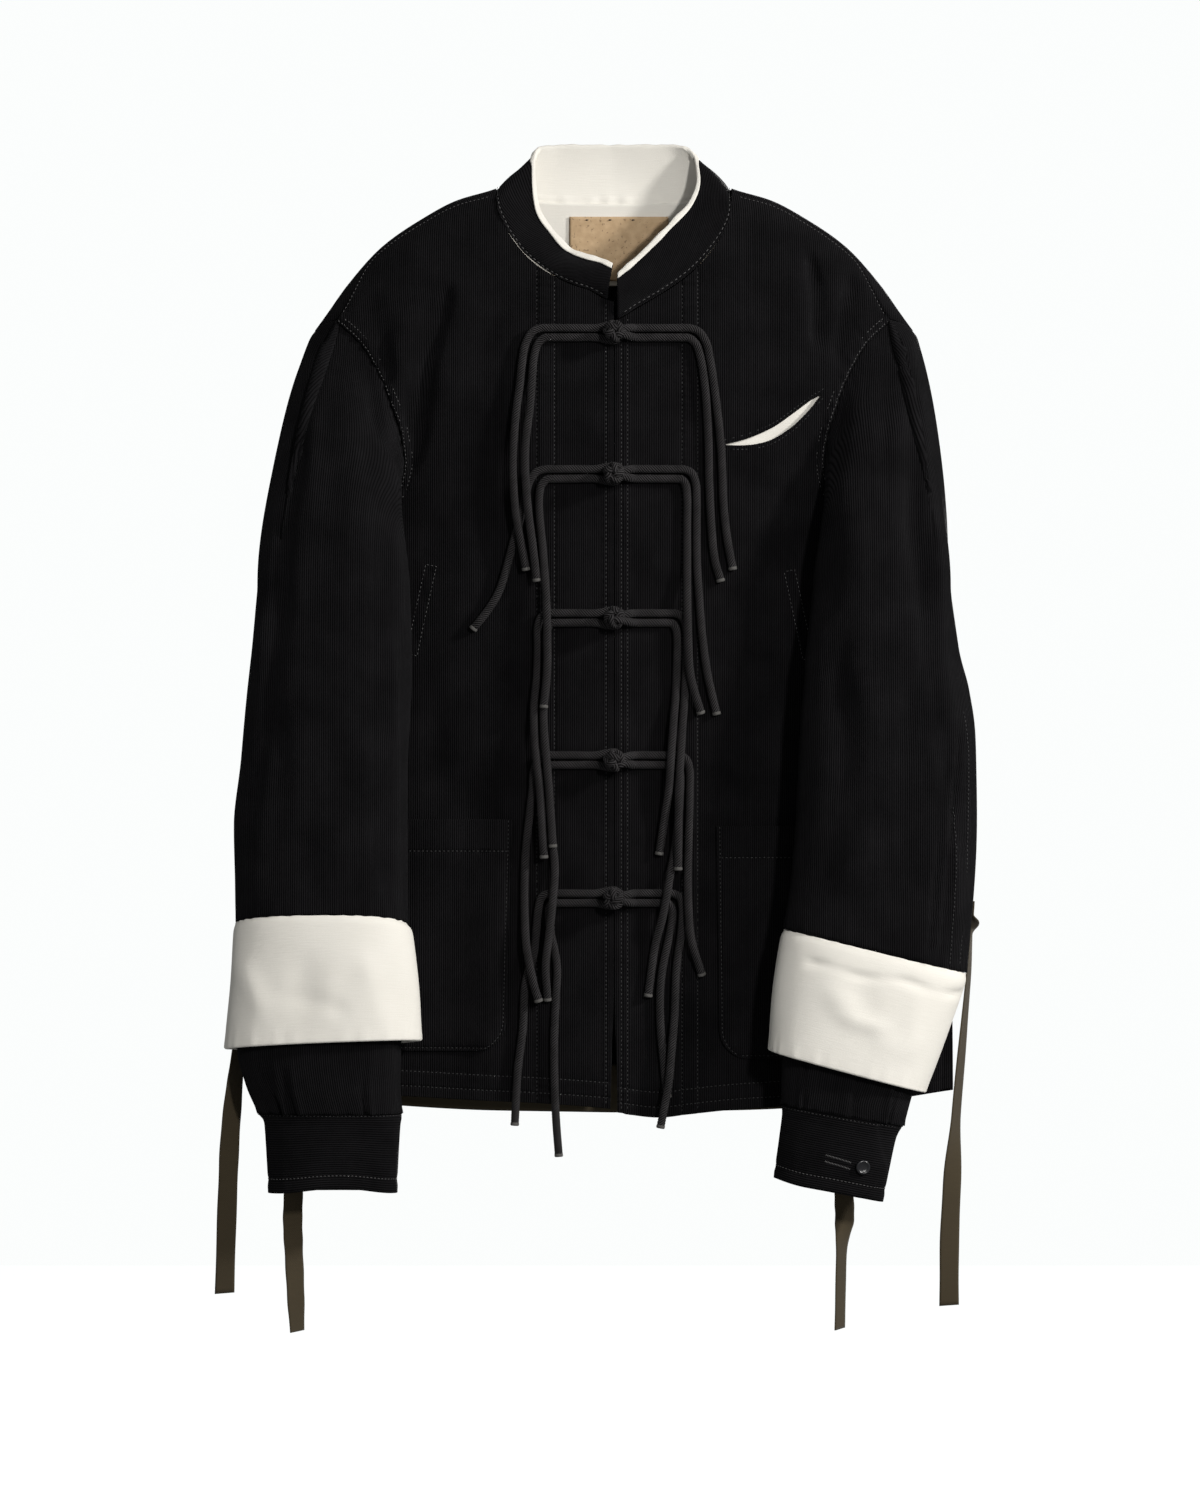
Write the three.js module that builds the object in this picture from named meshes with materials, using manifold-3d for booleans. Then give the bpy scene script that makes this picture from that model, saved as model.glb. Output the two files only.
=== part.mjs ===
// A Chinese-style corduroy jacket with frog fastenings, hung up by the back of its neck.
// Millimetres, +Z up, the front faces -Y. The origin is the collar seam at the centre back.
import * as THREE from 'three';
import Module from 'manifold-3d';
import { mergeVertices } from 'three/addons/utils/BufferGeometryUtils.js';

const wasm = await Module();
wasm.setup();

// Driving sizes of the cloth and the trimmings
const CLOTH = 1.6;
const COTTON = 1.0;
const GAP = 0.3;
const INSIDE = 0.7;
const INSIDE_CURVE = 1.25;
const CORD = 6.2;
const KNOT = 16.5;
const TAPE = 15;
const TAPE_THICK = 1.0;

// Driving sizes of the body
const TIP_X = 232;
const OVER_X = 225;
const SEAM_X = 213;
const NECK_X = 91.2;
const SEAM_FORWARD = 3;
const SEAM_DROP = 16;
const SEAM_TURNS_AT = 185;
const RIDGE_ROUND = 25;
const SIDE_HEM_Z = -686;
const FRONT_EDGE = 0.4;
const HEM_SPREAD = 2.4;
const HEM_SPREAD_FROM = -610;
const STRAIGHT_TO = 93;

const table = (names, rows) => rows.map(
  (row) => Object.fromEntries(names.map((name, i) => [name, row[i]])));

// A smooth monotone curve through one column of a table, read by another column
function column(rows, by, of) {
  const n = rows.length;
  const x = rows.map((row) => row[by]);
  const y = rows.map((row) => row[of]);
  const step = [];
  const slope = [];
  for (let i = 0; i < n - 1; i += 1) {
    step.push(x[i + 1] - x[i]);
    slope.push((y[i + 1] - y[i]) / step[i]);
  }
  const tangent = x.map((_, i) => {
    if (i === 0) return slope[0];
    if (i === n - 1) return slope[n - 2];
    if (slope[i - 1] * slope[i] <= 0) return 0;
    const a = 2 * step[i] + step[i - 1];
    const b = step[i] + 2 * step[i - 1];
    return (a + b) / (a / slope[i - 1] + b / slope[i]);
  });
  return (at) => {
    let i = 0;
    while (i < n - 2 && at > x[i + 1]) i += 1;
    const t = (at - x[i]) / step[i];
    if (t < 0) return y[0] + tangent[0] * (at - x[0]);
    if (t > 1) return y[n - 1] + tangent[n - 1] * (at - x[n - 1]);
    const t2 = t * t;
    const t3 = t2 * t;
    return (2 * t3 - 3 * t2 + 1) * y[i] + (t3 - 2 * t2 + t) * step[i] * tangent[i]
      + (3 * t2 - 2 * t3) * y[i + 1] + (t3 - t2) * step[i] * tangent[i + 1];
  };
}

const mix = (a, b, t) => a + (b - a) * t;
const smooth = (from, to, at) => {
  const t = Math.min(1, Math.max(0, (at - from) / (to - from)));
  return t * t * (3 - 2 * t);
};

// Body sizes read by height: half width, and how far the front and the back stand off the middle
const BODY = table(['z', 'half', 'front', 'back'], [
  [-720, 263.4, 34, 22],
  [-650, 263, 35, 22],
  [-550, 260, 37, 24],
  [-450, 255, 39, 25],
  [-360, 247, 41, 26],
  [-300, 238, 42, 27],
  [-275, 232, 42, 27],
  [-250.3, 228.2, 42, 27],
  [-230, 233, 42, 27],
  [-200, 240, 42, 27],
  [-150, 246, 42, 26],
  [-98, 250, 40, 25],
  [40, 252, 38, 24],
]);
const halfWidth = column(BODY, 'z', 'half');
const frontDepth = column(BODY, 'z', 'front');
const backDepth = column(BODY, 'z', 'back');

// The ridge of the shoulder, from the middle of the neck out past the shoulder tip
const ridge = column(table(['x', 'z'], [
  [0, 35], [40, 31], [70, 22], [92, 12], [122, 3], [150, -12], [180, -33], [207, -63],
  [224, -87], [232, -98], [245, -122],
]), 'x', 'z');

const neckBack = column(table(['x', 'z'], [
  [0, 0], [45, 1], [76, 5.5], [88, 10], [91.2, 12],
]), 'x', 'z');
const NECK_FRONT = {
  left: column(table(['x', 'z'], [
    [0, -78], [7, -76], [18, -70], [35, -64], [48.5, -57], [65, -45], [78.5, -29], [86, -15],
    [90.3, -3], [91.2, 7],
  ]), 'x', 'z'),
  right: column(table(['x', 'z'], [
    [0, -93], [5, -91], [14, -85.5], [28.5, -77], [47, -65.5], [61.5, -54], [77, -36], [87, -19],
    [90.5, -6], [91.2, 6],
  ]), 'x', 'z'),
};
const HEM = {
  left: column(table(['x', 'z'], [
    [0, -700], [57, -696], [103, -694], [162, -691], [231, -688], [265, -684],
  ]), 'x', 'z'),
  right: column(table(['x', 'z'], [
    [0, -703], [35, -707], [58, -704.5], [93, -701], [127, -699], [231, -691.5], [265, -684.5],
  ]), 'x', 'z'),
  back: column(table(['x', 'z'], [
    [0, -706], [100, -704], [200, -697], [265, -687],
  ]), 'x', 'z'),
};

// The large folds of the body: soft troughs (height below 0) and ridges along a line
const FOLDS = table(['side', 'x0', 'z0', 'x1', 'z1', 'height', 'width'], [
  ['front', -136, -56, -161, -205, -5, 11],
  ['front', -161, -75, -165, -165, 3, 10],
  ['front', 149, -32, 166, -125, -4.5, 10],
  ['front', 186, -50, 172, -118, -4, 9],
  ['front', -112, -400, -122, -705, -3, 24],
  ['front', 96, -420, 108, -705, -3, 24],
  ['front', -30, -250, -38, -560, 1.5, 26],
  ['back', -92, -140, -112, -700, -4, 26],
  ['back', 64, -180, 88, -700, -4, 26],
  ['back', -10, -60, -4, -330, 2.5, 30],
  ['back', -150, -70, -172, -240, -3.5, 14],
  ['back', 150, -70, 170, -250, -3.5, 14],
]);
function foldHeight(side, x, z) {
  let sum = 0;
  for (const fold of FOLDS) {
    if (fold.side !== side) continue;
    const dx = fold.x1 - fold.x0;
    const dz = fold.z1 - fold.z0;
    const long = Math.hypot(dx, dz);
    const along = ((x - fold.x0) * dx + (z - fold.z0) * dz) / long;
    const across = ((x - fold.x0) * dz - (z - fold.z0) * dx) / long;
    const ends = smooth(0, 3 * fold.width, along) * (1 - smooth(long - 3 * fold.width, long, along));
    sum += fold.height * Math.exp(-((across / fold.width) ** 2)) * ends;
  }
  return sum;
}

// The depth of the body at a place: a lens between its side seams, rounded over the shoulder
function bodyY(x, z, side) {
  const across = Math.min(0.9999, Math.abs(x) / halfWidth(z));
  const below = Math.max(0, ridge(Math.abs(x)) - z);
  const full = Math.sqrt(1 - across ** 3);
  const slim = (1 - across ** 1.6) ** 0.8;
  const section = mix(full, slim, smooth(-110, -235, z));
  const rounded = Math.sqrt(below / (below + RIDGE_ROUND));
  const deep = side === 'front' ? frontDepth(z) : backDepth(z);
  const calm = smooth(0, 12, below) * smooth(1, 0.93, across);
  const out = GAP / 2 * across ** 8 + deep * section * rounded + foldHeight(side, x, z) * calm;
  return side === 'front' ? -out : out;
}

// The outward normal of the body at a place, from small steps along X and Z
function bodyNormal(x, z, side) {
  const h = 0.05;
  const low = Math.min(z, ridge(Math.abs(x)) - 2 * h);
  const dx = (bodyY(x + h, low, side) - bodyY(x - h, low, side)) / (2 * h);
  const dz = (bodyY(x, low + h, side) - bodyY(x, low - h, side)) / (2 * h);
  const sign = side === 'front' ? -1 : 1;
  return new THREE.Vector3(-dx * sign, sign, -dz * sign).normalize();
}

// A point on the body's outer face, moved out by some millimetres
function skin(x, z, side, out = 0) {
  return new THREE.Vector3(x, bodyY(x, z, side), z).addScaledVector(bodyNormal(x, z, side), out);
}

// A closed wall: its outer face is a grid of points, its inner face lies a thickness inside.
// The first row may take its own normals, and settle() may move an inner point off a neighbour.
function wall(point, us, vs, thickness, options = {}) {
  const { round = false, outward, firstNormal, settle } = options;
  const h = 1e-3;
  const columns = us.length;
  const rows = vs.length;
  const outer = [];
  const inner = [];
  for (let j = 0; j < rows; j += 1) {
    for (let i = 0; i < columns; i += 1) {
      const [u, v] = [us[i], vs[j]];
      const at = point(u, v);
      let normal;
      if (firstNormal && j === 0) {
        normal = firstNormal(u);
      } else {
        const alongU = point(u + h, v).sub(point(u - h, v));
        const alongV = point(u, Math.min(1, v + h)).sub(point(u, Math.max(0, v - h)));
        normal = alongU.cross(alongV).normalize();
        if (outward(at, u, v).dot(normal) < 0) normal.negate();
      }
      const inside = at.clone().addScaledVector(normal, -thickness);
      if (settle) settle(inside, u, v);
      outer.push(at);
      inner.push(inside);
    }
  }
  const points = outer.concat(inner);
  const shift = outer.length;
  const faces = [];
  const quad = (a, b, c, d) => faces.push(a, b, c, a, c, d);
  const cells = round ? columns : columns - 1;
  const id = (i, j) => j * columns + (i % columns);
  for (let j = 0; j < rows - 1; j += 1) {
    for (let i = 0; i < cells; i += 1) {
      const corner = [id(i, j), id(i + 1, j), id(i + 1, j + 1), id(i, j + 1)];
      quad(...corner);
      quad(...corner.map((k) => k + shift).reverse());
    }
  }
  const rim = (a, b) => quad(b, a, a + shift, b + shift);
  for (let i = 0; i < cells; i += 1) {
    rim(id(i, 0), id(i + 1, 0));
    rim(id(i + 1, rows - 1), id(i, rows - 1));
  }
  if (!round) {
    for (let j = 0; j < rows - 1; j += 1) {
      rim(id(0, j + 1), id(0, j));
      rim(id(columns - 1, j), id(columns - 1, j + 1));
    }
  }
  return solidFrom(points, faces);
}

// A geometry from points and faces, turned so that its faces point out
function solidFrom(points, faces) {
  let volume = 0;
  const cross = new THREE.Vector3();
  for (let k = 0; k < faces.length; k += 3) {
    cross.crossVectors(points[faces[k + 1]], points[faces[k + 2]]);
    volume += points[faces[k]].dot(cross);
  }
  const turned = volume < 0
    ? faces.map((_, k) => faces[k - (k % 3) + (2 - (k % 3))])
    : faces;
  const geometry = new THREE.BufferGeometry();
  const flat = points.flatMap((p) => [p.x, p.y, p.z]);
  geometry.setAttribute('position', new THREE.Float32BufferAttribute(flat, 3));
  geometry.setIndex(turned);
  return geometry;
}

const steps = (from, to, count) => Array.from(
  { length: count + 1 }, (_, i) => mix(from, to, i / count));

// Booleans: a geometry becomes a solid, and a solid becomes a geometry
function solid(geometry) {
  const bare = new THREE.BufferGeometry();
  bare.setAttribute('position', geometry.getAttribute('position').clone());
  if (geometry.index) bare.setIndex(geometry.index.clone());
  const merged = mergeVertices(bare, 1e-4);
  return new wasm.Manifold(new wasm.Mesh({
    numProp: 3,
    vertProperties: new Float32Array(merged.getAttribute('position').array),
    triVerts: new Uint32Array(merged.index.array),
  }));
}
function unsolid(shape) {
  const mesh = shape.getMesh();
  const geometry = new THREE.BufferGeometry();
  geometry.setAttribute('position', new THREE.BufferAttribute(mesh.vertProperties, 3));
  geometry.setIndex(new THREE.BufferAttribute(mesh.triVerts, 1));
  return geometry;
}

// Colours of the cloth and the trimmings
const colour = (hex, roughness) => new THREE.MeshStandardMaterial({ color: hex, roughness });
const CORDUROY = () => colour(0x1c1b1d, 0.95);
const CREAM = () => colour(0xf0eee8, 0.9);
const KRAFT = () => colour(0xb49673, 0.85);
const OLIVE = () => colour(0x4a4030, 0.9);
const ROULEAU = () => colour(0x202020, 0.85);
const BUTTON = () => colour(0x17161a, 0.35);

const jacket = new THREE.Group();
function add(name, geometry, material) {
  const mesh = new THREE.Mesh(geometry, material);
  mesh.name = name;
  jacket.add(mesh);
  return mesh;
}

// How far the shoulder seam lies below the ridge, on the front
const seamDrop = (x) => SEAM_FORWARD + SEAM_DROP * smooth(SEAM_TURNS_AT, SEAM_X, x);
const CORNER_Z = ridge(SEAM_X) - seamDrop(SEAM_X) - GAP;

// The edge that the fronts share with the sleeves, from the shoulder seam down to the underarm,
// and the height of the same row of cloth near the centre of the front
const ARMHOLE_FRONT = table(['x', 'z', 'centreZ'], [
  [SEAM_X, CORNER_Z, -60], [212.5, -93, -66], [207, -98, -76], [195, -110, -92],
  [182, -132, -116], [171.5, -157, -142], [165, -178, -168], [162, -200, -196],
  [166, -221, -228], [182, -237, -252], [205, -245.5, -272], [228.2, -250.3, -292],
]);
// The edge that the back shares with them, from the shoulder tip down to the underarm
const ARMHOLE_BACK = table(['x', 'z'], [
  [232, -98], [232, -101], [230.5, -108], [226, -122], [219, -140], [211.5, -165], [207.5, -190],
  [207, -212], [211, -230], [219, -242], [228.2, -250.3],
]);
const SIDE_ROWS = table(['z', 'centreZ'], [
  [-270, -314], [-300, -342], [-350, -386], [-420, -446], [-495, -514], [-570, -582], [-640, -648],
]);
const HEM_CENTRE_Z = -698;

// The rows of a body panel: its outer edge, row by row, then on down the side seam to the hem
function edgeRows(armhole, hemZ) {
  const side = SIDE_ROWS.concat({ z: hemZ, centreZ: HEM_CENTRE_Z })
    .map((row) => ({ ...row, x: halfWidth(row.z) }));
  return armhole.concat(side).map((row, k) => ({ ...row, k }));
}

const UNDERARM_ROW = ARMHOLE_FRONT.length - 1;

// How much of the edge's shift a place across the panel takes: none near the centre
const follow = (x, edge) => Math.max(0, (x - STRAIGHT_TO) / (edge - STRAIGHT_TO)) ** 1.5;

function frontPoint(sign) {
  const name = sign < 0 ? 'left' : 'right';
  const rows = edgeRows(ARMHOLE_FRONT, HEM[name](halfWidth(SIDE_HEM_Z)));
  const edgeX = column(rows, 'k', 'x');
  const edgeZ = column(rows, 'k', 'z');
  const centreZ = column(rows, 'k', 'centreZ');
  const last = rows.length - 1;
  return (u, v) => {
    const top = SEAM_X * u;
    const k = v * last;
    const share = follow(top, SEAM_X);
    const x = top + (edgeX(k) - SEAM_X) * share;
    const startZ = top < NECK_X ? NECK_FRONT[name](top) : ridge(top) - seamDrop(top) - GAP;
    const rowZ = (at) => mix(centreZ(at), edgeZ(at), share);
    const down = (from, to) => Math.min(1, Math.max(0, (from - centreZ(k)) / (from - to)));
    const z = rowZ(k)
      + (startZ - rowZ(0)) * (1 - down(centreZ(0), centreZ(UNDERARM_ROW)))
      + (HEM[name](top + (edgeX(last) - SEAM_X) * share) - rowZ(last))
      * down(centreZ(UNDERARM_ROW), centreZ(last));
    const spread = FRONT_EDGE + HEM_SPREAD * smooth(HEM_SPREAD_FROM, -705, z);
    const across = sign * Math.max(x, spread);
    return new THREE.Vector3(across, bodyY(across, z, 'front'), z);
  };
}

const FRONT_COLUMNS = [0, 14, 32, 50, 66, 79, 87, 90.5, 91.3, 108, 130, 156, 180, 198, 213]
  .map((x) => x / SEAM_X);
const FRONT_ROW_COUNT = ARMHOLE_FRONT.length + SIDE_ROWS.length;

function frontPanel(sign) {
  return wall(frontPoint(sign), FRONT_COLUMNS, steps(0, 1, FRONT_ROW_COUNT), CLOTH, {
    outward: (at) => bodyNormal(at.x, at.z, 'front'),
    settle: (inside) => {
      inside.y = Math.min(inside.y, -GAP / 2);
      inside.x = sign * Math.max(sign * inside.x, FRONT_EDGE);
    },
  });
}

// The back wraps over the shoulder ridge to the seam on the front
function backPoint() {
  const over = [{ x: SEAM_X }, { x: OVER_X }];
  const rows = edgeRows(ARMHOLE_BACK, HEM.back(halfWidth(SIDE_HEM_Z)));
  const xs = over.map((row) => row.x).concat(rows.map((row) => row.x)).map((x, k) => ({ k, x }));
  const edgeX = column(xs, 'k', 'x');
  const edgeZ = column(rows, 'k', 'z');
  const last = xs.length - 1;
  return (u, v) => {
    const sign = Math.sign(u) || 1;
    const top = SEAM_X * Math.abs(u);
    const k = v * last;
    const x = top + (edgeX(k) - SEAM_X) * follow(top, SEAM_X);
    const neck = top < NECK_X;
    if (k < over.length) {
      const left = (1 - k / over.length) ** 2;
      const z = neck ? neckBack(x) - k : ridge(x) - seamDrop(x) * left;
      return new THREE.Vector3(sign * x, bodyY(sign * x, z, neck ? 'back' : 'front'), z);
    }
    const startZ = neck ? neckBack(x) - over.length
      : ridge(top + (TIP_X - SEAM_X) * follow(top, SEAM_X));
    const fall = (edgeZ(k - over.length) - edgeZ(0)) / (edgeZ(rows.length - 1) - edgeZ(0));
    const hemX = top + (edgeX(last) - SEAM_X) * follow(top, SEAM_X);
    const z = mix(startZ, HEM.back(hemX), fall);
    return new THREE.Vector3(sign * x, bodyY(sign * x, z, 'back'), z);
  };
}

function backPanel() {
  const half = [30, 60, 80, 89.5, 91.3, 108, 130, 156, 180, 198, 213].map((x) => x / SEAM_X);
  const us = half.map((u) => -u).reverse().concat(0, half);
  const count = 2 + ARMHOLE_BACK.length + SIDE_ROWS.length;
  return wall(backPoint(), us, steps(0, 1, count), CLOTH, {
    outward: (at) => (at.z > ridge(Math.abs(at.x)) - 4
      ? new THREE.Vector3(0, 0, 1) : bodyNormal(at.x, at.z, at.y < 0 ? 'front' : 'back')),
    settle: (inside, u, v) => {
      if (v * count > 2 + ARMHOLE_BACK.length - 1.5) inside.y = Math.max(inside.y, GAP / 2);
    },
  });
}

// The arms, as rings down each: centre, half width, half depth, tilt (degrees, outer side low)
// and how much the front edge rises. x is the distance out from the middle of the jacket.
const RING = ['z', 'x', 'y', 'half', 'deep', 'tilt', 'rise'];
const ARMS = {
  left: {
    sign: -1,
    sleeve: table(RING, [
      [-300, 215, -52, 58, 31, 0, 0],
      [-340, 217, -55, 60.5, 32, 0, 0],
      [-380, 219, -57, 63, 33, 0, 0],
      [-430, 222.5, -58, 64.5, 33, 0, 0],
      [-480, 226, -59, 67, 33, 0, 0],
      [-525, 225, -60, 66, 33, 0, 3],
      [-556, 224.5, -60, 65.5, 33, 0, 7],
    ]),
    turnUp: table(RING, [
      [-556.5, 224.5, -60, 65.5, 33, 0, 7],
      [-562, 223.2, -60, 68.5, 35, 0, 7],
      [-600, 222.5, -61, 72, 36, 3, 6],
      [-649, 223.5, -61, 75.5, 36, 6, 4],
    ]),
    lower: table(RING, [
      [-546, 224.6, -60, 63, 30.5, 0, 6],
      [-580, 224, -60, 62, 30, 0, 3],
      [-650, 226, -59, 63, 29, 0, 0],
      [-678, 223.5, -58, 59.5, 28.5, 0, 0],
      [-702, 218, -57, 55, 28, 0, 0],
    ]),
    band: table(RING, [
      [-702.5, 218, -57, 55, 28, 0, 0],
      [-709, 216, -56.5, 52.5, 27, 0, 0],
      [-763, 216, -56, 49.5, 26, 0, 0],
    ]),
    buttonAngle: 285,
  },
  right: {
    sign: 1,
    sleeve: table(RING, [
      [-300, 206, -52, 53, 31, 0, 0],
      [-345, 206, -57, 58, 32, 0, 0],
      [-378, 209, -59, 63, 33, 0, 0],
      [-411, 210, -61, 67, 33, 0, 0],
      [-470, 208, -63, 69, 33, 1, 0],
      [-530, 205, -64, 69.5, 33, 6, 0],
      [-577, 200, -65, 71.5, 33, 13.7, 0],
    ]),
    turnUp: table(RING, [
      [-577.5, 199.9, -65, 71.5, 33, 13.7, 0],
      [-585, 198, -66, 73, 34, 14, 0],
      [-622, 188.5, -67, 69, 35, 14.5, 0],
      [-668, 178, -67, 62.5, 35, 15, 0],
    ]),
    lower: table(RING, [
      [-566, 201.4, -65, 66.5, 29.5, 12, 0],
      [-600, 196, -65, 64, 30, 13, 0],
      [-650, 184, -64, 54, 29, 12.5, 0],
      [-680, 178.5, -63, 50, 28.5, 11, 0],
      [-703, 175, -62, 47.5, 28, 10, 0],
    ]),
    band: table(RING, [
      [-703.5, 174.9, -62, 47.5, 28, 10, 0],
      [-711, 173, -61.5, 45, 27, 11, 0],
      [-760, 164.5, -61, 42.5, 26, 13, 0],
    ]),
    buttonAngle: 65,
  },
};
const SQUARENESS = 0.86;

// A tube down the arm: the angle is 0 outside, 90 in front, 180 inside and 270 behind
function armTube(sign, rows) {
  const of = {};
  const numbered = rows.map((row, k) => ({ ...row, k }));
  for (const name of RING) of[name] = column(numbered, 'k', name);
  return (angle, v) => {
    const k = v * (rows.length - 1);
    const a = THREE.MathUtils.degToRad(angle);
    const [c, s] = [Math.cos(a), Math.sin(a)];
    const across = of.half(k) * Math.sign(c) * Math.abs(c) ** SQUARENESS;
    const deep = of.deep(k) * Math.sign(s) * Math.abs(s) ** SQUARENESS;
    const tilt = THREE.MathUtils.degToRad(of.tilt(k));
    return new THREE.Vector3(
      sign * (of.x(k) + across * Math.cos(tilt)),
      of.y(k) - deep,
      of.z(k) - across * Math.sin(tilt) + of.rise(k) * s,
    );
  };
}

// The seam of the sleeve, on the armhole's edge, by the same angle
const TIP_FRONT = [[0, TIP_X, ridge(TIP_X)], [20, OVER_X, ridge(OVER_X) - seamDrop(SEAM_X) / 4],
  [42, SEAM_X, CORNER_Z]];
const FRONT_ANGLES = [50, 62, 80, 102, 127, 148, 168, 190, 210, 232, 250];
const BACK_ANGLES = [268, 282, 297, 312, 326, 338, 347, 354, 358];
const SLEEVE_SEAM = table(['angle', 'x', 'z'], [
  ...TIP_FRONT,
  ...FRONT_ANGLES.map((angle, i) => [angle, ARMHOLE_FRONT[i + 1].x, ARMHOLE_FRONT[i + 1].z]),
  ...BACK_ANGLES.map((angle, i) => {
    const row = ARMHOLE_BACK[ARMHOLE_BACK.length - 2 - i];
    return [angle, row.x, row.z];
  }),
  [360, TIP_X, -98],
]);
const seamX = column(SLEEVE_SEAM, 'angle', 'x');
const seamZ = column(SLEEVE_SEAM, 'angle', 'z');
const UNDERARM_ANGLE = 250;
const seamSide = (angle) => (angle <= UNDERARM_ANGLE ? 'front' : 'back');
const turn = (angle) => ((angle % 360) + 360) % 360;

function seamPoint(sign, angle) {
  const a = turn(angle);
  const [x, z] = [sign * seamX(a), seamZ(a)];
  return new THREE.Vector3(x, bodyY(x, z, seamSide(a)), z);
}
function seamNormal(sign, angle) {
  const a = turn(angle);
  return bodyNormal(sign * seamX(a), seamZ(a) - 0.3, seamSide(a));
}
// The direction across the seam, away from the body's cloth and along its surface
function seamAway(sign, angle) {
  const along = seamPoint(sign, angle + 0.5).sub(seamPoint(sign, angle - 0.5));
  const away = along.cross(seamNormal(sign, angle)).normalize();
  const centre = new THREE.Vector3(sign * 205, 0, -170);
  return away.dot(centre.sub(seamPoint(sign, angle))) < 0 ? away.negate() : away;
}

// How the sleeve leaves its seam, by angle: along the cloth, forward, and down
const LEAVES = table(['angle', 'on', 'forward', 'down'], [
  [0, 14, 0, 0],
  [42, 20, 4, 4],
  [78, 24, 9, 10],
  [100, 22, 14, 18],
  [125, 10, 18, 32],
  [148, 4, 18, 38],
  [168, 4, 18, 32],
  [190, 8, 22, 10],
  [210, 14, 26, 0],
  [232, 20, 27, 0],
  [250, 22, 26, 0],
  [268, 24, 10, 0],
  [297, 26, 0, 0],
  [338, 16, 0, 0],
  [360, 14, 0, 0],
]);
const leave = { on: column(LEAVES, 'angle', 'on'), forward: column(LEAVES, 'angle', 'forward'),
  down: column(LEAVES, 'angle', 'down') };
const HEAD_SHARE = 0.42;
const LANDING = 0.36;

// Folds of the sleeves: soft troughs and ridges between two places (angle, share of the length)
const SLEEVE_FOLDS = table(['arm', 'a0', 'v0', 'a1', 'v1', 'height', 'width'], [
  ['left', 50, 0.12, 38, 0.98, -4, 11],
  ['left', 95, 0.1, 160, 0.94, 3.5, 16],
  ['left', 330, 0.2, 300, 0.9, -3, 16],
  ['right', 62, 0.15, 50, 0.9, -3.5, 12],
  ['right', 130, 0.1, 105, 0.7, 3.5, 16],
  ['right', 320, 0.2, 290, 0.9, -3, 16],
]);
function sleeveFold(arm, angle, v) {
  let sum = 0;
  for (const fold of SLEEVE_FOLDS) {
    if (fold.arm !== arm) continue;
    const t = (v - fold.v0) / (fold.v1 - fold.v0);
    if (t <= 0 || t >= 1) continue;
    const off = turn(angle - mix(fold.a0, fold.a1, t) + 180) - 180;
    sum += fold.height * Math.exp(-((off / fold.width) ** 2)) * smooth(0, 0.25, t)
      * smooth(1, 0.75, t);
  }
  return sum;
}

function sleevePoint(name) {
  const arm = ARMS[name];
  const rings = armTube(arm.sign, arm.sleeve);
  return (angle, v) => {
    const a = turn(angle);
    if (v >= HEAD_SHARE) {
      const at = rings(a, (v - HEAD_SHARE) / (1 - HEAD_SHARE));
      const middle = rings(a + 180, (v - HEAD_SHARE) / (1 - HEAD_SHARE)).add(at).multiplyScalar(0.5);
      const out = at.clone().sub(middle).normalize();
      return at.addScaledVector(out, sleeveFold(name, a, v));
    }
    const t = v / HEAD_SHARE;
    const away = seamAway(arm.sign, a);
    const start = seamPoint(arm.sign, a).addScaledVector(away, SEAM_CLEAR);
    const end = rings(a, 0);
    const firstHandle = start.clone().addScaledVector(away, leave.on(a));
    firstHandle.y -= leave.forward(a);
    firstHandle.z -= leave.down(a);
    const lastHandle = end.clone();
    lastHandle.z += LANDING * start.distanceTo(end);
    const s = 1 - t;
    const at = start.clone().multiplyScalar(s ** 3).addScaledVector(firstHandle, 3 * s * s * t)
      .addScaledVector(lastHandle, 3 * s * t * t).addScaledVector(end, t ** 3);
    const centre = rings(a + 180, 0).add(end).multiplyScalar(0.5);
    const out = end.clone().sub(centre).normalize();
    return at.addScaledVector(out, sleeveFold(name, a, v));
  };
}

const HEAD_ROWS = [0, 0.07, 0.18, 0.34, 0.54, 0.77];
const RING_ROWS = 8;
const SEAM_CLEAR = 0.8;
const ARMHOLE_CENTRE = new THREE.Vector3(206, -2, -172);
const SLEEVE_ROWS = HEAD_ROWS.map((t) => t * HEAD_SHARE).concat(steps(HEAD_SHARE, 1, RING_ROWS));
const SLEEVE_ANGLES = SLEEVE_SEAM.map((row) => row.angle).slice(0, -1);

// The middle of a tube at a share of its length, from two opposite points
const middleOf = (point, angle, v) => point(angle, v).add(point(angle + 180, v)).multiplyScalar(0.5);
function sleeveMiddle(point, sign, v) {
  const armhole = ARMHOLE_CENTRE.clone();
  armhole.x *= sign;
  return armhole.lerp(middleOf(point, 90, Math.max(v, HEAD_SHARE)), Math.min(1, v / HEAD_SHARE));
}

function sleeve(name) {
  const arm = ARMS[name];
  const point = sleevePoint(name);
  return wall(point, SLEEVE_ANGLES, SLEEVE_ROWS, CLOTH, {
    round: true,
    firstNormal: (angle) => seamNormal(arm.sign, angle),
    outward: (at, angle, v) => at.clone().sub(sleeveMiddle(point, arm.sign, v)),
  });
}

const ROUND_ANGLES = steps(0, 360, 16).slice(0, -1);
function tube(sign, rows, rowCount, thickness) {
  const point = armTube(sign, rows);
  return wall(point, ROUND_ANGLES, steps(0, 1, rowCount), thickness, {
    round: true,
    outward: (at, angle, v) => at.clone().sub(middleOf(point, angle, v)),
  });
}

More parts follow.
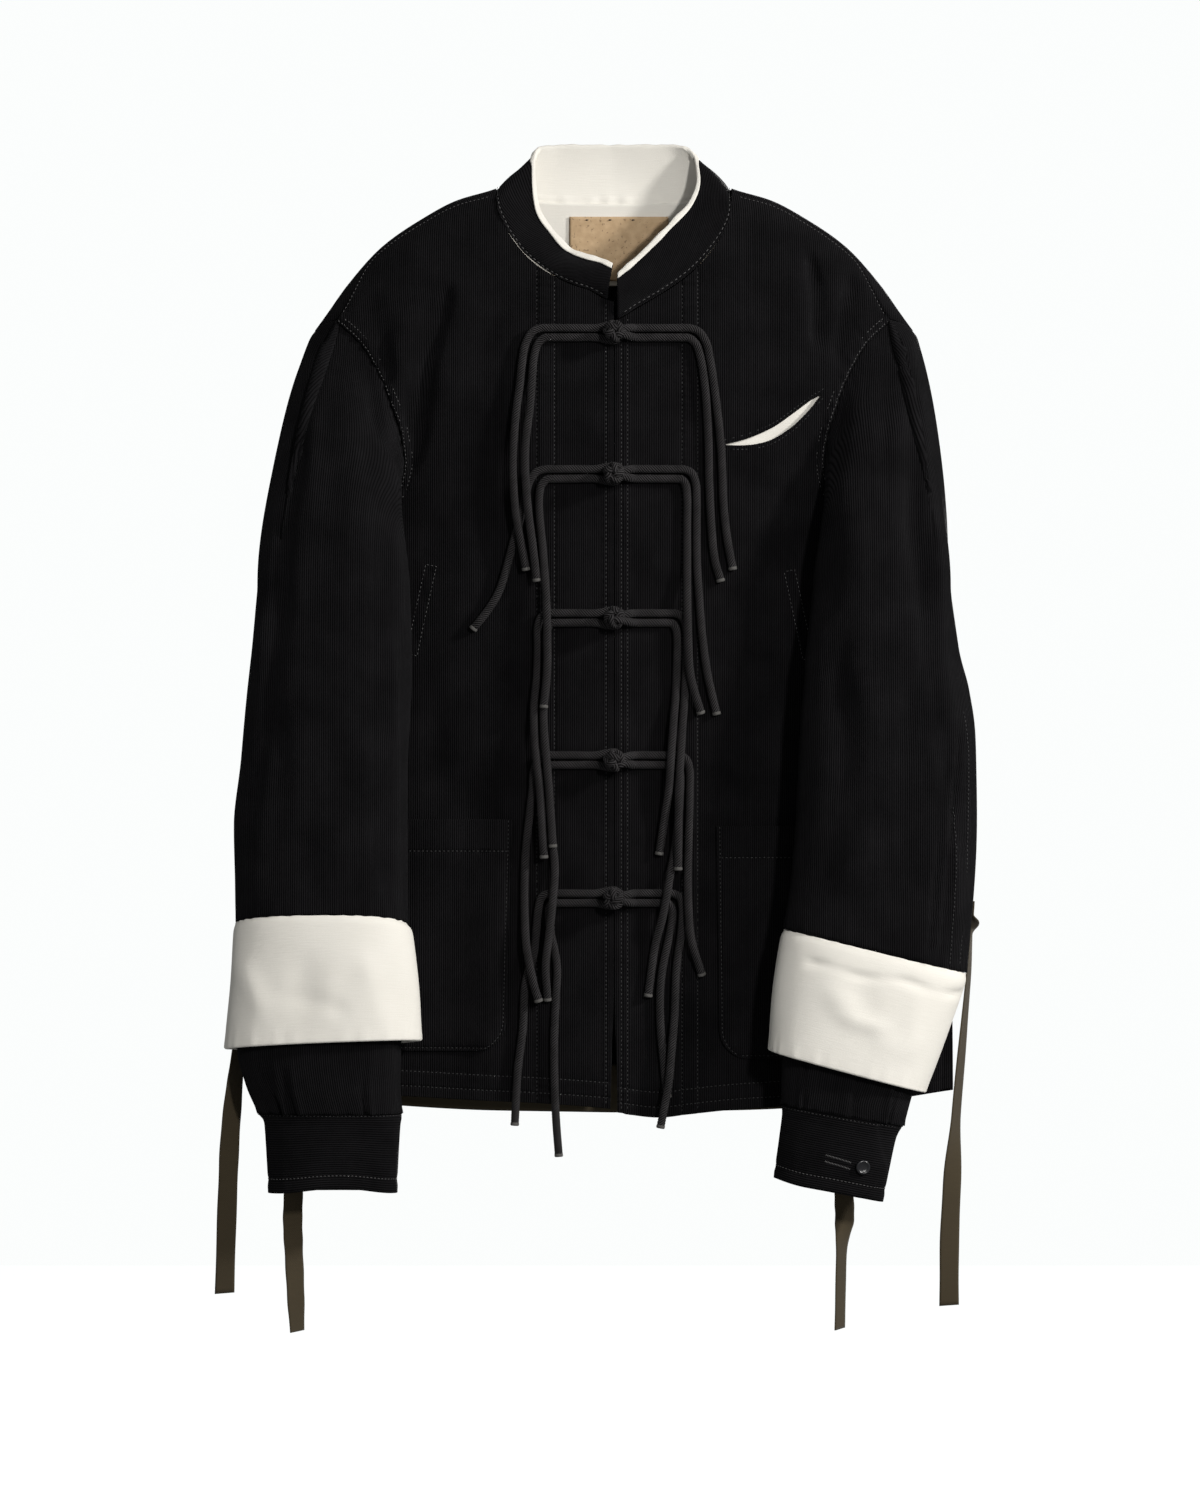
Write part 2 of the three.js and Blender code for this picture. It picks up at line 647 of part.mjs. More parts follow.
// Buttons: a turned disc with a raised rim, on the cuff band
const BUTTON_RADIUS = 5.6;
const BUTTON_DOWN = 0.8;
const BAND_THICK = 2.4;
function cuffButton(name) {
  const arm = ARMS[name];
  const point = armTube(arm.sign, arm.band);
  const [v, h] = [BUTTON_DOWN, 0.5];
  const at = point(arm.buttonAngle, v);
  const normal = point(arm.buttonAngle + h, v).sub(point(arm.buttonAngle - h, v))
    .cross(point(arm.buttonAngle, v + 0.01).sub(point(arm.buttonAngle, v - 0.01))).normalize();
  if (normal.dot(at.clone().sub(middleOf(point, arm.buttonAngle, v))) < 0) normal.negate();
  const profile = [[0, 0], [BUTTON_RADIUS - 0.6, 0], [BUTTON_RADIUS, 1], [BUTTON_RADIUS - 0.6, 2.6],
    [BUTTON_RADIUS - 1.8, 2], [0, 2]].map(([x, y]) => new THREE.Vector2(x, y));
  const geometry = new THREE.LatheGeometry(profile, 8);
  const mesh = add(`cuff_button_${name}`, geometry, BUTTON());
  mesh.quaternion.setFromUnitVectors(new THREE.Vector3(0, 1, 0), normal);
  mesh.position.copy(at).addScaledVector(normal, GAP + 0.25);
}

// The stand collar. A place along its seam is a run: out across the back from the middle to the
// side of the neck, and in again along the front. Left runs are below 0.
const COLLAR_TOP = {
  left: table(['run', 'x', 'y', 'z'], [
    [0, 0, 17, 46], [45, 36, 16, 46.5], [76, 56, 11, 45], [91.2, 62, 3, 34],
    [96.4, 61.5, -8, 16], [103.9, 59, -15, -3], [117.4, 48, -23, -22], [133.9, 33, -30, -38],
    [147.4, 22, -34, -42.5], [164.4, 9, -37, -46], [177, 1, -39, -50],
  ]),
  right: table(['run', 'x', 'y', 'z'], [
    [0, 0, 17, 46], [45, 36, 16, 46.5], [76, 56, 11, 45], [91.2, 63, 3, 36],
    [95.4, 65, -8, 20], [105.4, 60, -17, 2], [120.9, 46, -26, -15], [135.4, 34, -32, -28],
    [153.9, 17, -38, -45], [168.4, 8, -41, -53], [179.9, 2.4, -42.5, -58],
  ]),
};
const COLLAR_RUNS = [177, 168.4, 150.4, 132.4, 116.4, 103.4, 95.4, 91.9, 91.2, 89.5, 80, 60, 30];
const COLLAR_BULGE = 3;
const COLLAR_START = 0.8;
const COLLAR_INSET = 1.2;
const topOf = {};
for (const [name, rows] of Object.entries(COLLAR_TOP)) {
  topOf[name] = ['x', 'y', 'z'].map((axis) => column(rows, 'run', axis));
}
function neckSeam(run) {
  const sign = run < 0 ? -1 : 1;
  const r = Math.abs(run);
  const behind = r <= NECK_X;
  const x = behind ? r : 2 * NECK_X - r;
  const name = sign < 0 ? 'left' : 'right';
  const z = behind ? neckBack(x) : NECK_FRONT[name](x);
  return { x: sign * x, z, side: behind ? 'back' : 'front', name, sign, r };
}
function collarPoint(run, v) {
  const seam = neckSeam(run);
  const top = new THREE.Vector3(...topOf[seam.name].map((f) => f(seam.r)));
  top.x *= seam.sign;
  const start = skin(seam.x, seam.z, seam.side);
  const up = top.clone().sub(start).normalize();
  start.addScaledVector(up, COLLAR_START);
  start.x -= seam.sign * COLLAR_INSET * Math.exp(-(((seam.r - NECK_X) / 6) ** 2));
  const out = new THREE.Vector3(start.x, start.y * 2, 0).normalize();
  const at = start.clone().lerp(top, v);
  return at.addScaledVector(out, COLLAR_BULGE * 4 * v * (1 - v));
}
const collarOut = (at) => new THREE.Vector3(at.x, at.y * 2, 35);

// The outward normal of a surface given as a function
function normalOf(point, u, v, outward) {
  const h = 1e-2;
  const alongU = point(u + h, v).sub(point(u - h, v));
  const alongV = point(u, Math.min(1, v + h)).sub(point(u, Math.max(0, v - h)));
  const normal = alongU.cross(alongV).normalize();
  return outward(point(u, v)).dot(normal) < 0 ? normal.negate() : normal;
}
const moved = (point, out, outward) => (u, v) => point(u, v)
  .addScaledVector(normalOf(point, u, v, outward), out);

const collarRuns = (leftEnd, rightEnd) => [-leftEnd, ...COLLAR_RUNS.slice(1).map((r) => -r), 0,
  ...COLLAR_RUNS.slice(1).reverse(), rightEnd];

function collarOuter() {
  return wall(collarPoint, collarRuns(177, 179.9), steps(0, 1, 4), CLOTH, {
    outward: collarOut,
    firstNormal: (run) => {
      const seam = neckSeam(run);
      return bodyNormal(seam.x, seam.z, seam.side);
    },
  });
}
function collarInner() {
  const point = moved(collarPoint, -(CLOTH + INSIDE_CURVE), collarOut);
  return wall(point, collarRuns(176.5, 179.4), [0.12, 0.25, 0.5, 0.75, 1], COTTON, {
    outward: collarOut,
  });
}

// A patch on the body's skin: out is the height of its outer face over the skin
function patch(xOf, zOf, side, out, thickness, us, vs) {
  return wall((u, v) => skin(xOf(u, v), zOf(u, v), side, out), us, vs, thickness, {
    outward: (at) => bodyNormal(at.x, at.z, side),
  });
}

// The facing and the bare label inside the back of the neck
const FACING = { half: 84, drop: 62 };
const LABEL = { left: -34.5, right: 42.5, top: -8, bottom: -58 };
function backNeckFacing() {
  const columns = [-84, -70, -50, -25, 0, 25, 50, 70, 84].map((x) => x / FACING.half);
  return patch((u) => FACING.half * u,
    (u, v) => mix(neckBack(Math.abs(FACING.half * u)) - 3, -FACING.drop + 26 * u * u, v),
    'back', -(CLOTH + INSIDE), COTTON, columns, steps(0, 1, 4));
}
function neckLabel() {
  return patch((u) => mix(LABEL.left, LABEL.right, u), (u, v) => mix(LABEL.top, LABEL.bottom, v),
    'back', -(CLOTH + INSIDE + COTTON + INSIDE), COTTON, steps(0, 1, 4), steps(0, 1, 3));
}

// Patch pockets with a round inner lower corner
const POCKETS = {
  left: { sign: -1, inner: 78.5, lean: 5, outer: 238, top: -477, bottom: -656 },
  right: { sign: 1, inner: 78.5, lean: 2.5, outer: 238, top: -482, bottom: -662 },
};
const POCKET_CORNER = 23;
const POCKET_COLUMNS = [78.5, 91, 110, 138, 173.5, 208.5, 238];
function pocket({ sign, inner, lean, outer, top, bottom }) {
  const zOf = (u, v) => mix(top, bottom, v);
  const side = (z) => {
    const below = Math.max(0, bottom + POCKET_CORNER - z);
    const round = POCKET_CORNER - Math.sqrt(Math.max(0, POCKET_CORNER ** 2 - below ** 2));
    return inner + lean * ((top - z) / (top - bottom)) + round;
  };
  return patch((u, v) => sign * mix(side(zOf(u, v)), outer, u), zOf, 'front',
    INSIDE_CURVE + CLOTH, CLOTH, POCKET_COLUMNS.map((x) => (x - inner) / (outer - inner)),
    [0, 0.22, 0.45, 0.68, 0.872, 0.93, 0.97, 1]);
}

// The curved slit in the chest: its centre line and half its width, and the lining behind it
const SLIT = table(['x', 'z', 'half'], [
  [86, -188, 0.4], [100, -186.3, 2.5], [119.5, -180.6, 4.9], [137.5, -169.3, 5.4],
  [152, -156.8, 3.6], [159.5, -150, 0.4],
]);
const slitZ = column(SLIT, 'x', 'z');
const slitHalf = column(SLIT, 'x', 'half');
function slitCutter() {
  const xs = steps(86, 159.5, 8);
  const shape = new THREE.Shape([
    ...xs.map((x) => new THREE.Vector2(x, slitZ(x) - slitHalf(x))),
    ...xs.slice().reverse().map((x) => new THREE.Vector2(x, slitZ(x) + slitHalf(x))),
  ]);
  const cutter = new THREE.ExtrudeGeometry(shape, { depth: 70, bevelEnabled: false });
  return cutter.rotateX(Math.PI / 2);
}
function chestSlitLining() {
  const reach = 9;
  return patch((u) => mix(80, 164, u),
    (u, v) => slitZ(mix(80, 164, u)) + mix(reach, -reach, v), 'front', -(CLOTH + INSIDE),
    COTTON, steps(0, 1, 8), steps(0, 1, 3));
}

// The facing inside the back hem
function backHemFacing() {
  const half = [30, 60, 80, 90, 110.2, 138.6, 175.1, 211];
  const xs = half.map((x) => -x).reverse().concat(0, half);
  const reach = 211;
  return patch((u) => reach * u, (u, v) => HEM.back(Math.abs(reach * u)) + mix(38, 2, v), 'back',
    -(CLOTH + INSIDE_CURVE), COTTON, xs.map((x) => x / reach), [0, 1]);
}

// Cords: a round section carried along a smooth route
function cordAlong(route, stepCount, sides = 8) {
  const section = new THREE.Shape(steps(0, 2 * Math.PI, sides).slice(0, -1)
    .map((a) => new THREE.Vector2(CORD / 2 * Math.cos(a), CORD / 2 * Math.sin(a))));
  return new THREE.ExtrudeGeometry(section, {
    steps: stepCount, extrudePath: new THREE.CatmullRomCurve3(route), bevelEnabled: false,
  });
}

// Frogs, from the collar down: height of the knot, and where each half ends
const FROGS = table(['z', 'leftEnd', 'rightEnd'], [
  [-102.4, 48.5, 52], [-211, 46.5, 47.5], [-321.9, 44, 40], [-431.2, 44, 43.5],
  [-537.5, 44, 38],
]);
const PAIR = 3.7;
const SHANK = 1.5;
const LIE = CORD / 2 + 0.5;
const KNOT_LIFT = 2 * LIE + KNOT / 2 - 0.2;
const onFront = (x, z, lift) => skin(x, z, 'front', lift);

function frogLoop({ z, leftEnd }) {
  const half = [[-leftEnd, PAIR], [-30, PAIR], [-14, PAIR], [-5.5, 5.3], [0.8, 5.8]];
  const route = [...half, [6, 0], ...half.map(([x, off]) => [x, -off]).reverse()]
    .map(([x, off]) => onFront(x, z + off, LIE));
  return cordAlong(route, 20, 6);
}
function frogKnot({ z, rightEnd }) {
  const arm = (sign) => {
    const route = [[rightEnd, PAIR, LIE], [32, PAIR, LIE], [17, PAIR, LIE], [13.4, 3.5, 6.2],
      [9.6, 2.8, 10.8], [4, 1.6, 13.5]].map(([x, off, lift]) => onFront(x, z + sign * off, lift));
    return solid(cordAlong(route, 7, 6));
  };
  const centre = onFront(0, z, KNOT_LIFT);
  const ball = new THREE.IcosahedronGeometry(KNOT / 2, 1).translate(...centre.toArray());
  const foot = onFront(0, z, 0.6);
  const shank = new THREE.CylinderGeometry(SHANK, SHANK, foot.y - centre.y, 8);
  shank.translate(centre.x, (centre.y + foot.y) / 2, centre.z);
  return unsolid(arm(1).add(arm(-1)).add(solid(ball)).add(solid(shank)));
}

// The free tails of the cords: points of each route as x, z and lift over the front
const TAILS = {
  left_1a: [[-49.1, -98.7, 3.6], [-56, -98.9, 3.6], [-63, -102, 3.8], [-68, -111, 4],
    [-70.6, -125, 4.8], [-72.3, -142, 5.8], [-75.5, -170.9, 8], [-76.4, -211, 10.4],
    [-74.2, -241.8, 10.4], [-70.2, -265.7, 9.5], [-67, -284, 7]],
  left_1b: [[-49.1, -106.1, 3.6], [-53.5, -106.5, 3.6], [-58.3, -110.5, 3.8], [-61.2, -119, 4],
    [-62.6, -132, 4.6], [-64, -155.5, 7], [-67.6, -194.8, 10.4], [-65.5, -234.1, 10.4],
    [-61.6, -265.7, 10.2], [-58.5, -292.6, 8]],
  left_2a: [[-47.1, -207.3, 3.6], [-53, -207.5, 3.6], [-59.5, -209.5, 3.6], [-64.5, -216, 3.6],
    [-68, -229, 3.6], [-71.5, -244, 3.6], [-76.6, -262, 3.6], [-87.8, -300.3, 3.6],
    [-97, -316, 3.6], [-107.8, -329.6, 3.6]],
  left_2b: [[-47.1, -214.7, 3.6], [-51, -215.1, 3.6], [-55.4, -219, 3.6], [-57.2, -227, 3.6],
    [-57, -243, 3.6], [-54.7, -266, 4.5], [-51.6, -297.2, 9], [-50.4, -316, 10.5],
    [-50, -335.7, 10.5], [-50, -358, 10.5], [-52.4, -389.6, 12]],
  left_3a: [[-44.6, -318.2, 3.6], [-50.5, -318.4, 3.6], [-55.5, -321.2, 3.6], [-58, -328, 3.6],
    [-58.2, -343.4, 3.6], [-58.9, -365.8, 3.6], [-61, -388.9, 5], [-60.3, -409.6, 9],
    [-58.2, -432, 10.5], [-55.8, -454.3, 10.5], [-52.8, -505.1, 10.5]],
  left_3b: [[-44.6, -325.6, 3.6], [-47.6, -326, 3.6], [-50.4, -329.6, 3.6], [-51.4, -337, 3.6],
    [-51.3, -350, 3.6], [-51.5, -370, 3.6], [-53.6, -392, 4.6], [-52.4, -412, 9.5],
    [-50.6, -431, 10.5], [-48.8, -454, 10.5], [-46, -496.7, 10.5]],
  left_4a: [[-44.6, -427.5, 3.6], [-51, -427.7, 3.6], [-57.5, -431, 3.6], [-61.3, -440, 3.6],
    [-62.2, -452.8, 3.6], [-64.2, -470, 3.6], [-67.8, -504.4, 3.6], [-68.5, -541.3, 4.5],
    [-66.6, -573.7, 10], [-60.8, -604.5, 10.4], [-57.5, -616, 9.5]],
  left_4b: [[-44.6, -434.9, 3.6], [-48, -435.3, 3.6], [-51.6, -439, 3.6], [-53, -447, 3.6],
    [-52.6, -462, 3.6], [-51, -478, 3.6], [-46.5, -500, 3.8], [-44.9, -515, 7],
    [-46.2, -537.5, 10.5], [-49.3, -566, 10.5], [-52, -589.8, 9.5], [-51, -615.2, 4.5]],
  left_5a: [[-44.6, -533.8, 3.6], [-50.5, -534, 3.6], [-55.5, -537, 3.6], [-57.8, -545, 3.6],
    [-59.6, -560.6, 3.6], [-61.6, -580, 3.6], [-67.8, -602.9, 3.6], [-70, -638.3, 3.6],
    [-73.9, -670.7, 3.6], [-76.2, -711.5, 3.6]],
  left_5b: [[-44.6, -541.2, 3.6], [-47.3, -541.6, 3.6], [-49.6, -545.2, 3.6], [-49.8, -553, 3.6],
    [-48.4, -565, 3.6], [-45.8, -577, 3.6], [-43.6, -592, 3.6], [-44.6, -614.5, 3.6],
    [-46, -654.5, 3.6], [-44.7, -703.8, 3.6], [-42.4, -735.4, 3.6]],
  right_1a: [[52.6, -98.7, 3.6], [58.5, -98.9, 3.6], [65.5, -101.8, 3.6], [70.8, -110, 3.6],
    [73.8, -123, 3.6], [78.5, -155.5, 3.6], [82.4, -194.8, 3.6], [83.9, -234.1, 3.6],
    [87, -262, 3.6], [90.9, -283.4, 3.6]],
  right_1b: [[52.6, -106.1, 3.6], [57.5, -106.5, 3.6], [62.8, -110.8, 3.6], [66.3, -120.5, 3.6],
    [70.2, -146.3, 3.6], [72.4, -185.6, 3.6], [73.2, -224.8, 3.6], [77, -275.7, 3.6],
    [81.6, -292.6, 3.6]],
  right_2a: [[48.1, -214.7, 3.6], [51.5, -215.1, 3.6], [54.8, -219, 3.6], [56, -227, 3.6],
    [56, -250, 3.6], [55.8, -281, 5], [55.4, -306.5, 10], [56, -335.7, 10.5],
    [58, -365.8, 10], [66.2, -394.2, 5]],
  right_2b: [[48.1, -207.3, 3.6], [54, -207.5, 3.6], [59.5, -210.3, 3.6], [62.6, -218, 3.6],
    [63.2, -230, 3.6], [63.4, -277.2, 3.6], [65.2, -306.5, 3.6], [67.6, -335.7, 3.6],
    [71.8, -365.8, 3.6], [78.5, -395, 3.6]],
  right_3a: [[40.6, -325.6, 3.6], [44.2, -326, 3.6], [47.3, -330, 3.6], [48.4, -339, 3.6],
    [48.2, -355, 3.6], [47.2, -380.4, 3.6], [45, -405, 8], [43, -431, 10.5], [41.4, -455, 9],
    [38.5, -475.9, 5], [34.7, -502.8, 3.6]],
  right_3b: [[40.6, -318.2, 3.6], [47, -318.4, 3.6], [52.4, -321.4, 3.6], [55.1, -329, 3.6],
    [55.4, -345, 3.6], [54.2, -380, 3.6], [52, -405, 8], [50.3, -431, 10.5], [49, -455, 10.5],
    [48.8, -480, 10.5], [48.5, -514.4, 10.5]],
  right_4a: [[44.1, -427.5, 3.6], [50, -427.7, 3.6], [55.2, -430.5, 3.6], [57.8, -438, 3.6],
    [58, -450, 3.6], [57.8, -469, 3.6], [56.6, -510, 4], [56, -530, 9], [56.4, -545, 10.5],
    [58.5, -568, 9], [67, -596, 4]],
  right_4b: [[44.1, -434.9, 3.6], [47.3, -435.3, 3.6], [50, -438.8, 3.6], [50.9, -447, 3.6],
    [50.3, -460, 3.6], [49, -480, 3.6], [46, -503, 4], [42.8, -519, 8], [39.6, -537.5, 10.5],
    [36.8, -552, 9.5], [31.6, -573.7, 4], [26.2, -612.2, 3.6]],
  right_5a: [[38.6, -541.2, 3.6], [41.5, -541.6, 3.6], [44, -545.2, 3.6], [44.4, -553, 3.6],
    [42.4, -566, 3.6], [36.2, -598.3, 3.6], [35.4, -630.6, 3.6], [38, -663, 3.6],
    [40.8, -690, 3.6]],
  right_5b: [[38.6, -533.8, 3.6], [45, -534, 3.6], [50.3, -537, 3.6], [52.4, -545, 3.6],
    [51.6, -563, 3.6], [48, -590, 3.6], [46.2, -630.6, 4], [43.8, -655, 9.5],
    [41.4, -680, 10.5], [35.4, -713, 10]],
};
const TAIL_STEP = 3 * CORD;
function cordTail(rows) {
  const route = rows.map(([x, z, lift]) => onFront(x, z, lift));
  const length = new THREE.CatmullRomCurve3(route).getLength();
  return cordAlong(route, Math.round(length / TAIL_STEP));
}

// Tie tapes: where the top is sewn to the arm (piece, angle, two places down it), and then the
// middle of the tape and how far it is turned about the upright, in degrees
const TAPES = {
  left_outer: { arm: 'left', piece: 'turnUp', angle: 322, from: 0.35, to: 0.75, rows: [
    [-290, -38, -664, 50], [-293, -36, -690, 34], [-296, -36, -725, 8], [-298, -37, -770, -6],
    [-300, -38, -842, 5]] },
  left_inner: { arm: 'left', piece: 'band', angle: 305, from: 0.2, to: 0.98, rows: [
    [-248, -29, -785, 0], [-247, -30, -808, 20], [-245.5, -31, -840, 35], [-244, -32, -872, 50]] },
  right_outer: { arm: 'right', piece: 'sleeve', angle: 345, from: 0.84, to: 0.87, rows: [
    [275, -42, -566, 80], [274, -38, -590, 75], [270, -32, -640, 70], [264.5, -28, -705, 65],
    [261, -27, -760, 20], [259, -28, -806, 5], [258.5, -30, -852, -8]] },
  right_inner: { arm: 'right', piece: 'band', angle: 284, from: 0.2, to: 0.98, rows: [
    [178, -31, -784, 10], [176, -31, -808, 50], [174.5, -32, -870, 62]] },
};
const SEWN_CLEAR = 0.45;
const TAPE_ROWS = 14;
// A place on an arm's outer face where a tape is sewn: its middle and the way it is turned
function sewnAt({ arm, piece, angle }, v) {
  const { sign } = ARMS[arm];
  const point = armTube(sign, ARMS[arm][piece]);
  const at = point(angle, v);
  const along = point(angle + 1, v).sub(point(angle - 1, v));
  if (along.x < 0) along.negate();
  const twist = Math.atan2(along.y, along.x);
  const face = new THREE.Vector3(Math.sin(twist), -Math.cos(twist), 0);
  const out = at.clone().sub(middleOf(point, angle, v)).setZ(0);
  const facesOut = face.dot(out) > 0;
  at.addScaledVector(face, (facesOut ? 1 : -1) * (SEWN_CLEAR + (facesOut ? TAPE_THICK : 0)));
  return [at.x, at.y, at.z, THREE.MathUtils.radToDeg(twist)];
}
function tape(row) {
  const rows = [sewnAt(row, row.from), sewnAt(row, row.to), ...row.rows];
  const numbered = rows.map(([x, y, z, twist], k) => ({ x, y, z, twist, k }));
  const [x, y, z, twist] = ['x', 'y', 'z', 'twist'].map((name) => column(numbered, 'k', name));
  const point = (u, v) => {
    const k = v * (rows.length - 1);
    const a = THREE.MathUtils.degToRad(twist(k));
    const across = new THREE.Vector3(Math.cos(a), Math.sin(a), 0).multiplyScalar((u - 0.5) * TAPE);
    return new THREE.Vector3(x(k), y(k), z(k)).add(across);
  };
  return wall(point, [0, 1], steps(0, 1, TAPE_ROWS), TAPE_THICK, {
    outward: (at, u, v) => {
      const a = THREE.MathUtils.degToRad(twist(v * (rows.length - 1)));
      return new THREE.Vector3(Math.sin(a), -Math.cos(a), 0);
    },
  });
}

add('front_left', frontPanel(-1), CORDUROY());
add('front_right', unsolid(solid(frontPanel(1)).subtract(solid(slitCutter()))), CORDUROY());
add('back_panel', backPanel(), CORDUROY());
for (const [name, arm] of Object.entries(ARMS)) {
  add(`sleeve_${name}`, sleeve(name), CORDUROY());
  add(`turn_up_${name}`, tube(arm.sign, arm.turnUp, 3, CLOTH), CREAM());
  add(`lower_sleeve_${name}`, tube(arm.sign, arm.lower, 4, CLOTH), CORDUROY());
  add(`cuff_band_${name}`, tube(arm.sign, arm.band, 2, BAND_THICK), CORDUROY());
  cuffButton(name);
}
add('collar_outer', collarOuter(), CORDUROY());
add('collar_inner', collarInner(), CREAM());
add('back_neck_facing', backNeckFacing(), CREAM());
add('neck_label', neckLabel(), KRAFT());
add('pocket_left', pocket(POCKETS.left), CORDUROY());
add('pocket_right', pocket(POCKETS.right), CORDUROY());
add('chest_slit_lining', chestSlitLining(), CREAM());
add('back_hem_facing', backHemFacing(), OLIVE());
FROGS.forEach((frog, i) => {
  add(`frog_left_${i + 1}`, frogLoop(frog), ROULEAU());
  add(`frog_right_${i + 1}`, frogKnot(frog), ROULEAU());
});
for (const [name, rows] of Object.entries(TAILS)) {
  add(`tail_${name}`, cordTail(rows), ROULEAU());
}
for (const [name, row] of Object.entries(TAPES)) {
  add(`tape_${name}`, tape(row), OLIVE());
}

export default jacket;
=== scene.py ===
# %% [markdown]
# # A Chinese-style corduroy jacket, hung up
#
# The jacket hangs with nobody in it, over a pale floor. Its cloth keeps a hollow, worn-looking form, so
# every piece below is a thin shell on a surface that a formula gives. The formulas are those of the CAD
# part: the same few tables of sizes, read as smooth curves, in millimetres.

# %% Load the frame
import math
from functools import partial

import bpy
import numpy as np
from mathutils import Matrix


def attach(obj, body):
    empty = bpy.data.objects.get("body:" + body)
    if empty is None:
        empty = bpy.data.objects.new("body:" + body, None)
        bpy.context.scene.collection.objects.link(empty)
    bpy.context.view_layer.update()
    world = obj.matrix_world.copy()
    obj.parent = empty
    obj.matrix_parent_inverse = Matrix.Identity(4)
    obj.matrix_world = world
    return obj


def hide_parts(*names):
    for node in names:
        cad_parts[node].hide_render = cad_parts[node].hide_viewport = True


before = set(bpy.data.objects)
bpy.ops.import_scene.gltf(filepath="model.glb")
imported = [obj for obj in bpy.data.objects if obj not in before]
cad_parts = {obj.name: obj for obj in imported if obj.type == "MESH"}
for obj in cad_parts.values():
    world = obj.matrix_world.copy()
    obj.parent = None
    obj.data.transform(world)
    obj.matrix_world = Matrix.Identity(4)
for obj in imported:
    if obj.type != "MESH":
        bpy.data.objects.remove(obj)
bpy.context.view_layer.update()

MM = 0.001
print("frame loaded:", len(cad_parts), "nodes")

# %% [markdown]
# ## The camera
#
# The picture was taken straight on from some metres away with a long lens, so sizes hardly change with
# depth. One pixel of a 1200 x 1500 picture is 0.77 mm of the jacket, which fixes the lens.

# %% Camera
PIXEL = 0.77
PICTURE_WIDTH = 1200
PICTURE_MIDDLE = (-10.8, -423.5)
CAMERA_AWAY = 5000
FRONT_Y = -40

lens = bpy.data.cameras.new("camera")
lens.sensor_fit = "HORIZONTAL"
lens.sensor_width = 36
lens.lens = lens.sensor_width * CAMERA_AWAY / (PICTURE_WIDTH * PIXEL)
lens.clip_end = 60
camera = bpy.data.objects.new("camera", lens)
bpy.context.collection.objects.link(camera)
camera.location = (PICTURE_MIDDLE[0] * MM, (FRONT_Y - CAMERA_AWAY) * MM, PICTURE_MIDDLE[1] * MM)
camera.rotation_euler = (math.pi / 2, 0, 0)
bpy.context.scene.camera = camera
print(f"camera: {lens.lens:.0f} mm lens, {CAMERA_AWAY / 1000} m away")

# %% [markdown]
# ## Curves from short tables
#
# A garment is measured at a few heights. Between two of them the cloth runs smoothly and never swings
# past the measures, which a monotone cubic does: each slope is a weighted harmonic mean of the slopes on
# both sides, and it is level where they disagree.

# %% Curves and small helpers
def curve(points):
    """A smooth curve through (place, value) points: each span is a cubic with the harmonic-mean slopes."""
    x, y = np.array(points, float).T
    step = np.diff(x)
    slope = np.diff(y) / step
    before, after = slope[:-1], slope[1:]
    a, b = 2 * step[1:] + step[:-1], step[1:] + 2 * step[:-1]
    same = before * after > 0
    inner = np.where(same, (a + b) / (a / np.where(same, before, 1) + b / np.where(same, after, 1)), 0)
    tangent = np.concatenate([slope[:1], inner, slope[-1:]])

    def at(place):
        place = np.asarray(place, float)
        i = np.clip(np.searchsorted(x, place) - 1, 0, len(step) - 1)
        t = np.clip((place - x[i]) / step[i], 0, 1)
        value = ((2 * t**3 - 3 * t**2 + 1) * y[i] + (t**3 - 2 * t**2 + t) * step[i] * tangent[i]
                 + (3 * t**2 - 2 * t**3) * y[i + 1] + (t**3 - t**2) * step[i] * tangent[i + 1])
        over = np.where(place < x[0], tangent[0] * (place - x[0]), 0)
        return value + over + np.where(place > x[-1], tangent[-1] * (place - x[-1]), 0)
    return at


def mix(a, b, t):
    """A share t of the way from a to b."""
    return a + (b - a) * t


def smooth(start, end, at):
    """An S-curve from 0 at start to 1 at end."""
    t = np.clip((at - start) / (end - start), 0, 1)
    return t * t * (3 - 2 * t)


def unit(v):
    """Vectors scaled to length 1."""
    return v / np.maximum(np.linalg.norm(v, axis=-1, keepdims=True), 1e-12)


def xyz(x, y, z):
    """Points from three arrays of any matching shapes."""
    return np.stack(np.broadcast_arrays(x, y, z), axis=-1).astype(float)


def normal_of(surface, u, v, step_u, step_v, low_v=0, high_v=1):
    """The unit normal of surface(u, v): the cross product of its small steps along u and along v."""
    along_u = surface(u + step_u, v) - surface(u - step_u, v)
    along_v = surface(u, np.minimum(v + step_v, high_v)) - surface(u, np.maximum(v - step_v, low_v))
    return unit(np.cross(along_u, along_v))


def lines_height(lines, x, z, wobble=0.0):
    """Soft troughs and ridges: each is a bell across a line (x0, z0, x1, z1, height, width) that fades at
    both ends; wobble makes the line wander a little and its height uneven, as in real cloth."""
    total = np.zeros(np.broadcast(x, z).shape)
    for number, (x0, z0, x1, z1, height, width) in enumerate(lines):
        long = math.hypot(x1 - x0, z1 - z0)
        along = ((x - x0) * (x1 - x0) + (z - z0) * (z1 - z0)) / long
        across = ((x - x0) * (z1 - z0) - (z - z0) * (x1 - x0)) / long
        across = across + wobble * width * np.sin(along / (3.1 * width) + 2.3 * number)
        ends = smooth(0, 3 * width, along) * (1 - smooth(long - 3 * width, long, along))
        uneven = 1 + wobble * np.sin(along / (1.9 * width) + 1.1 * number)
        total = total + height * np.exp(-((across / width) ** 2)) * ends * uneven
    return total


print("helpers ready")

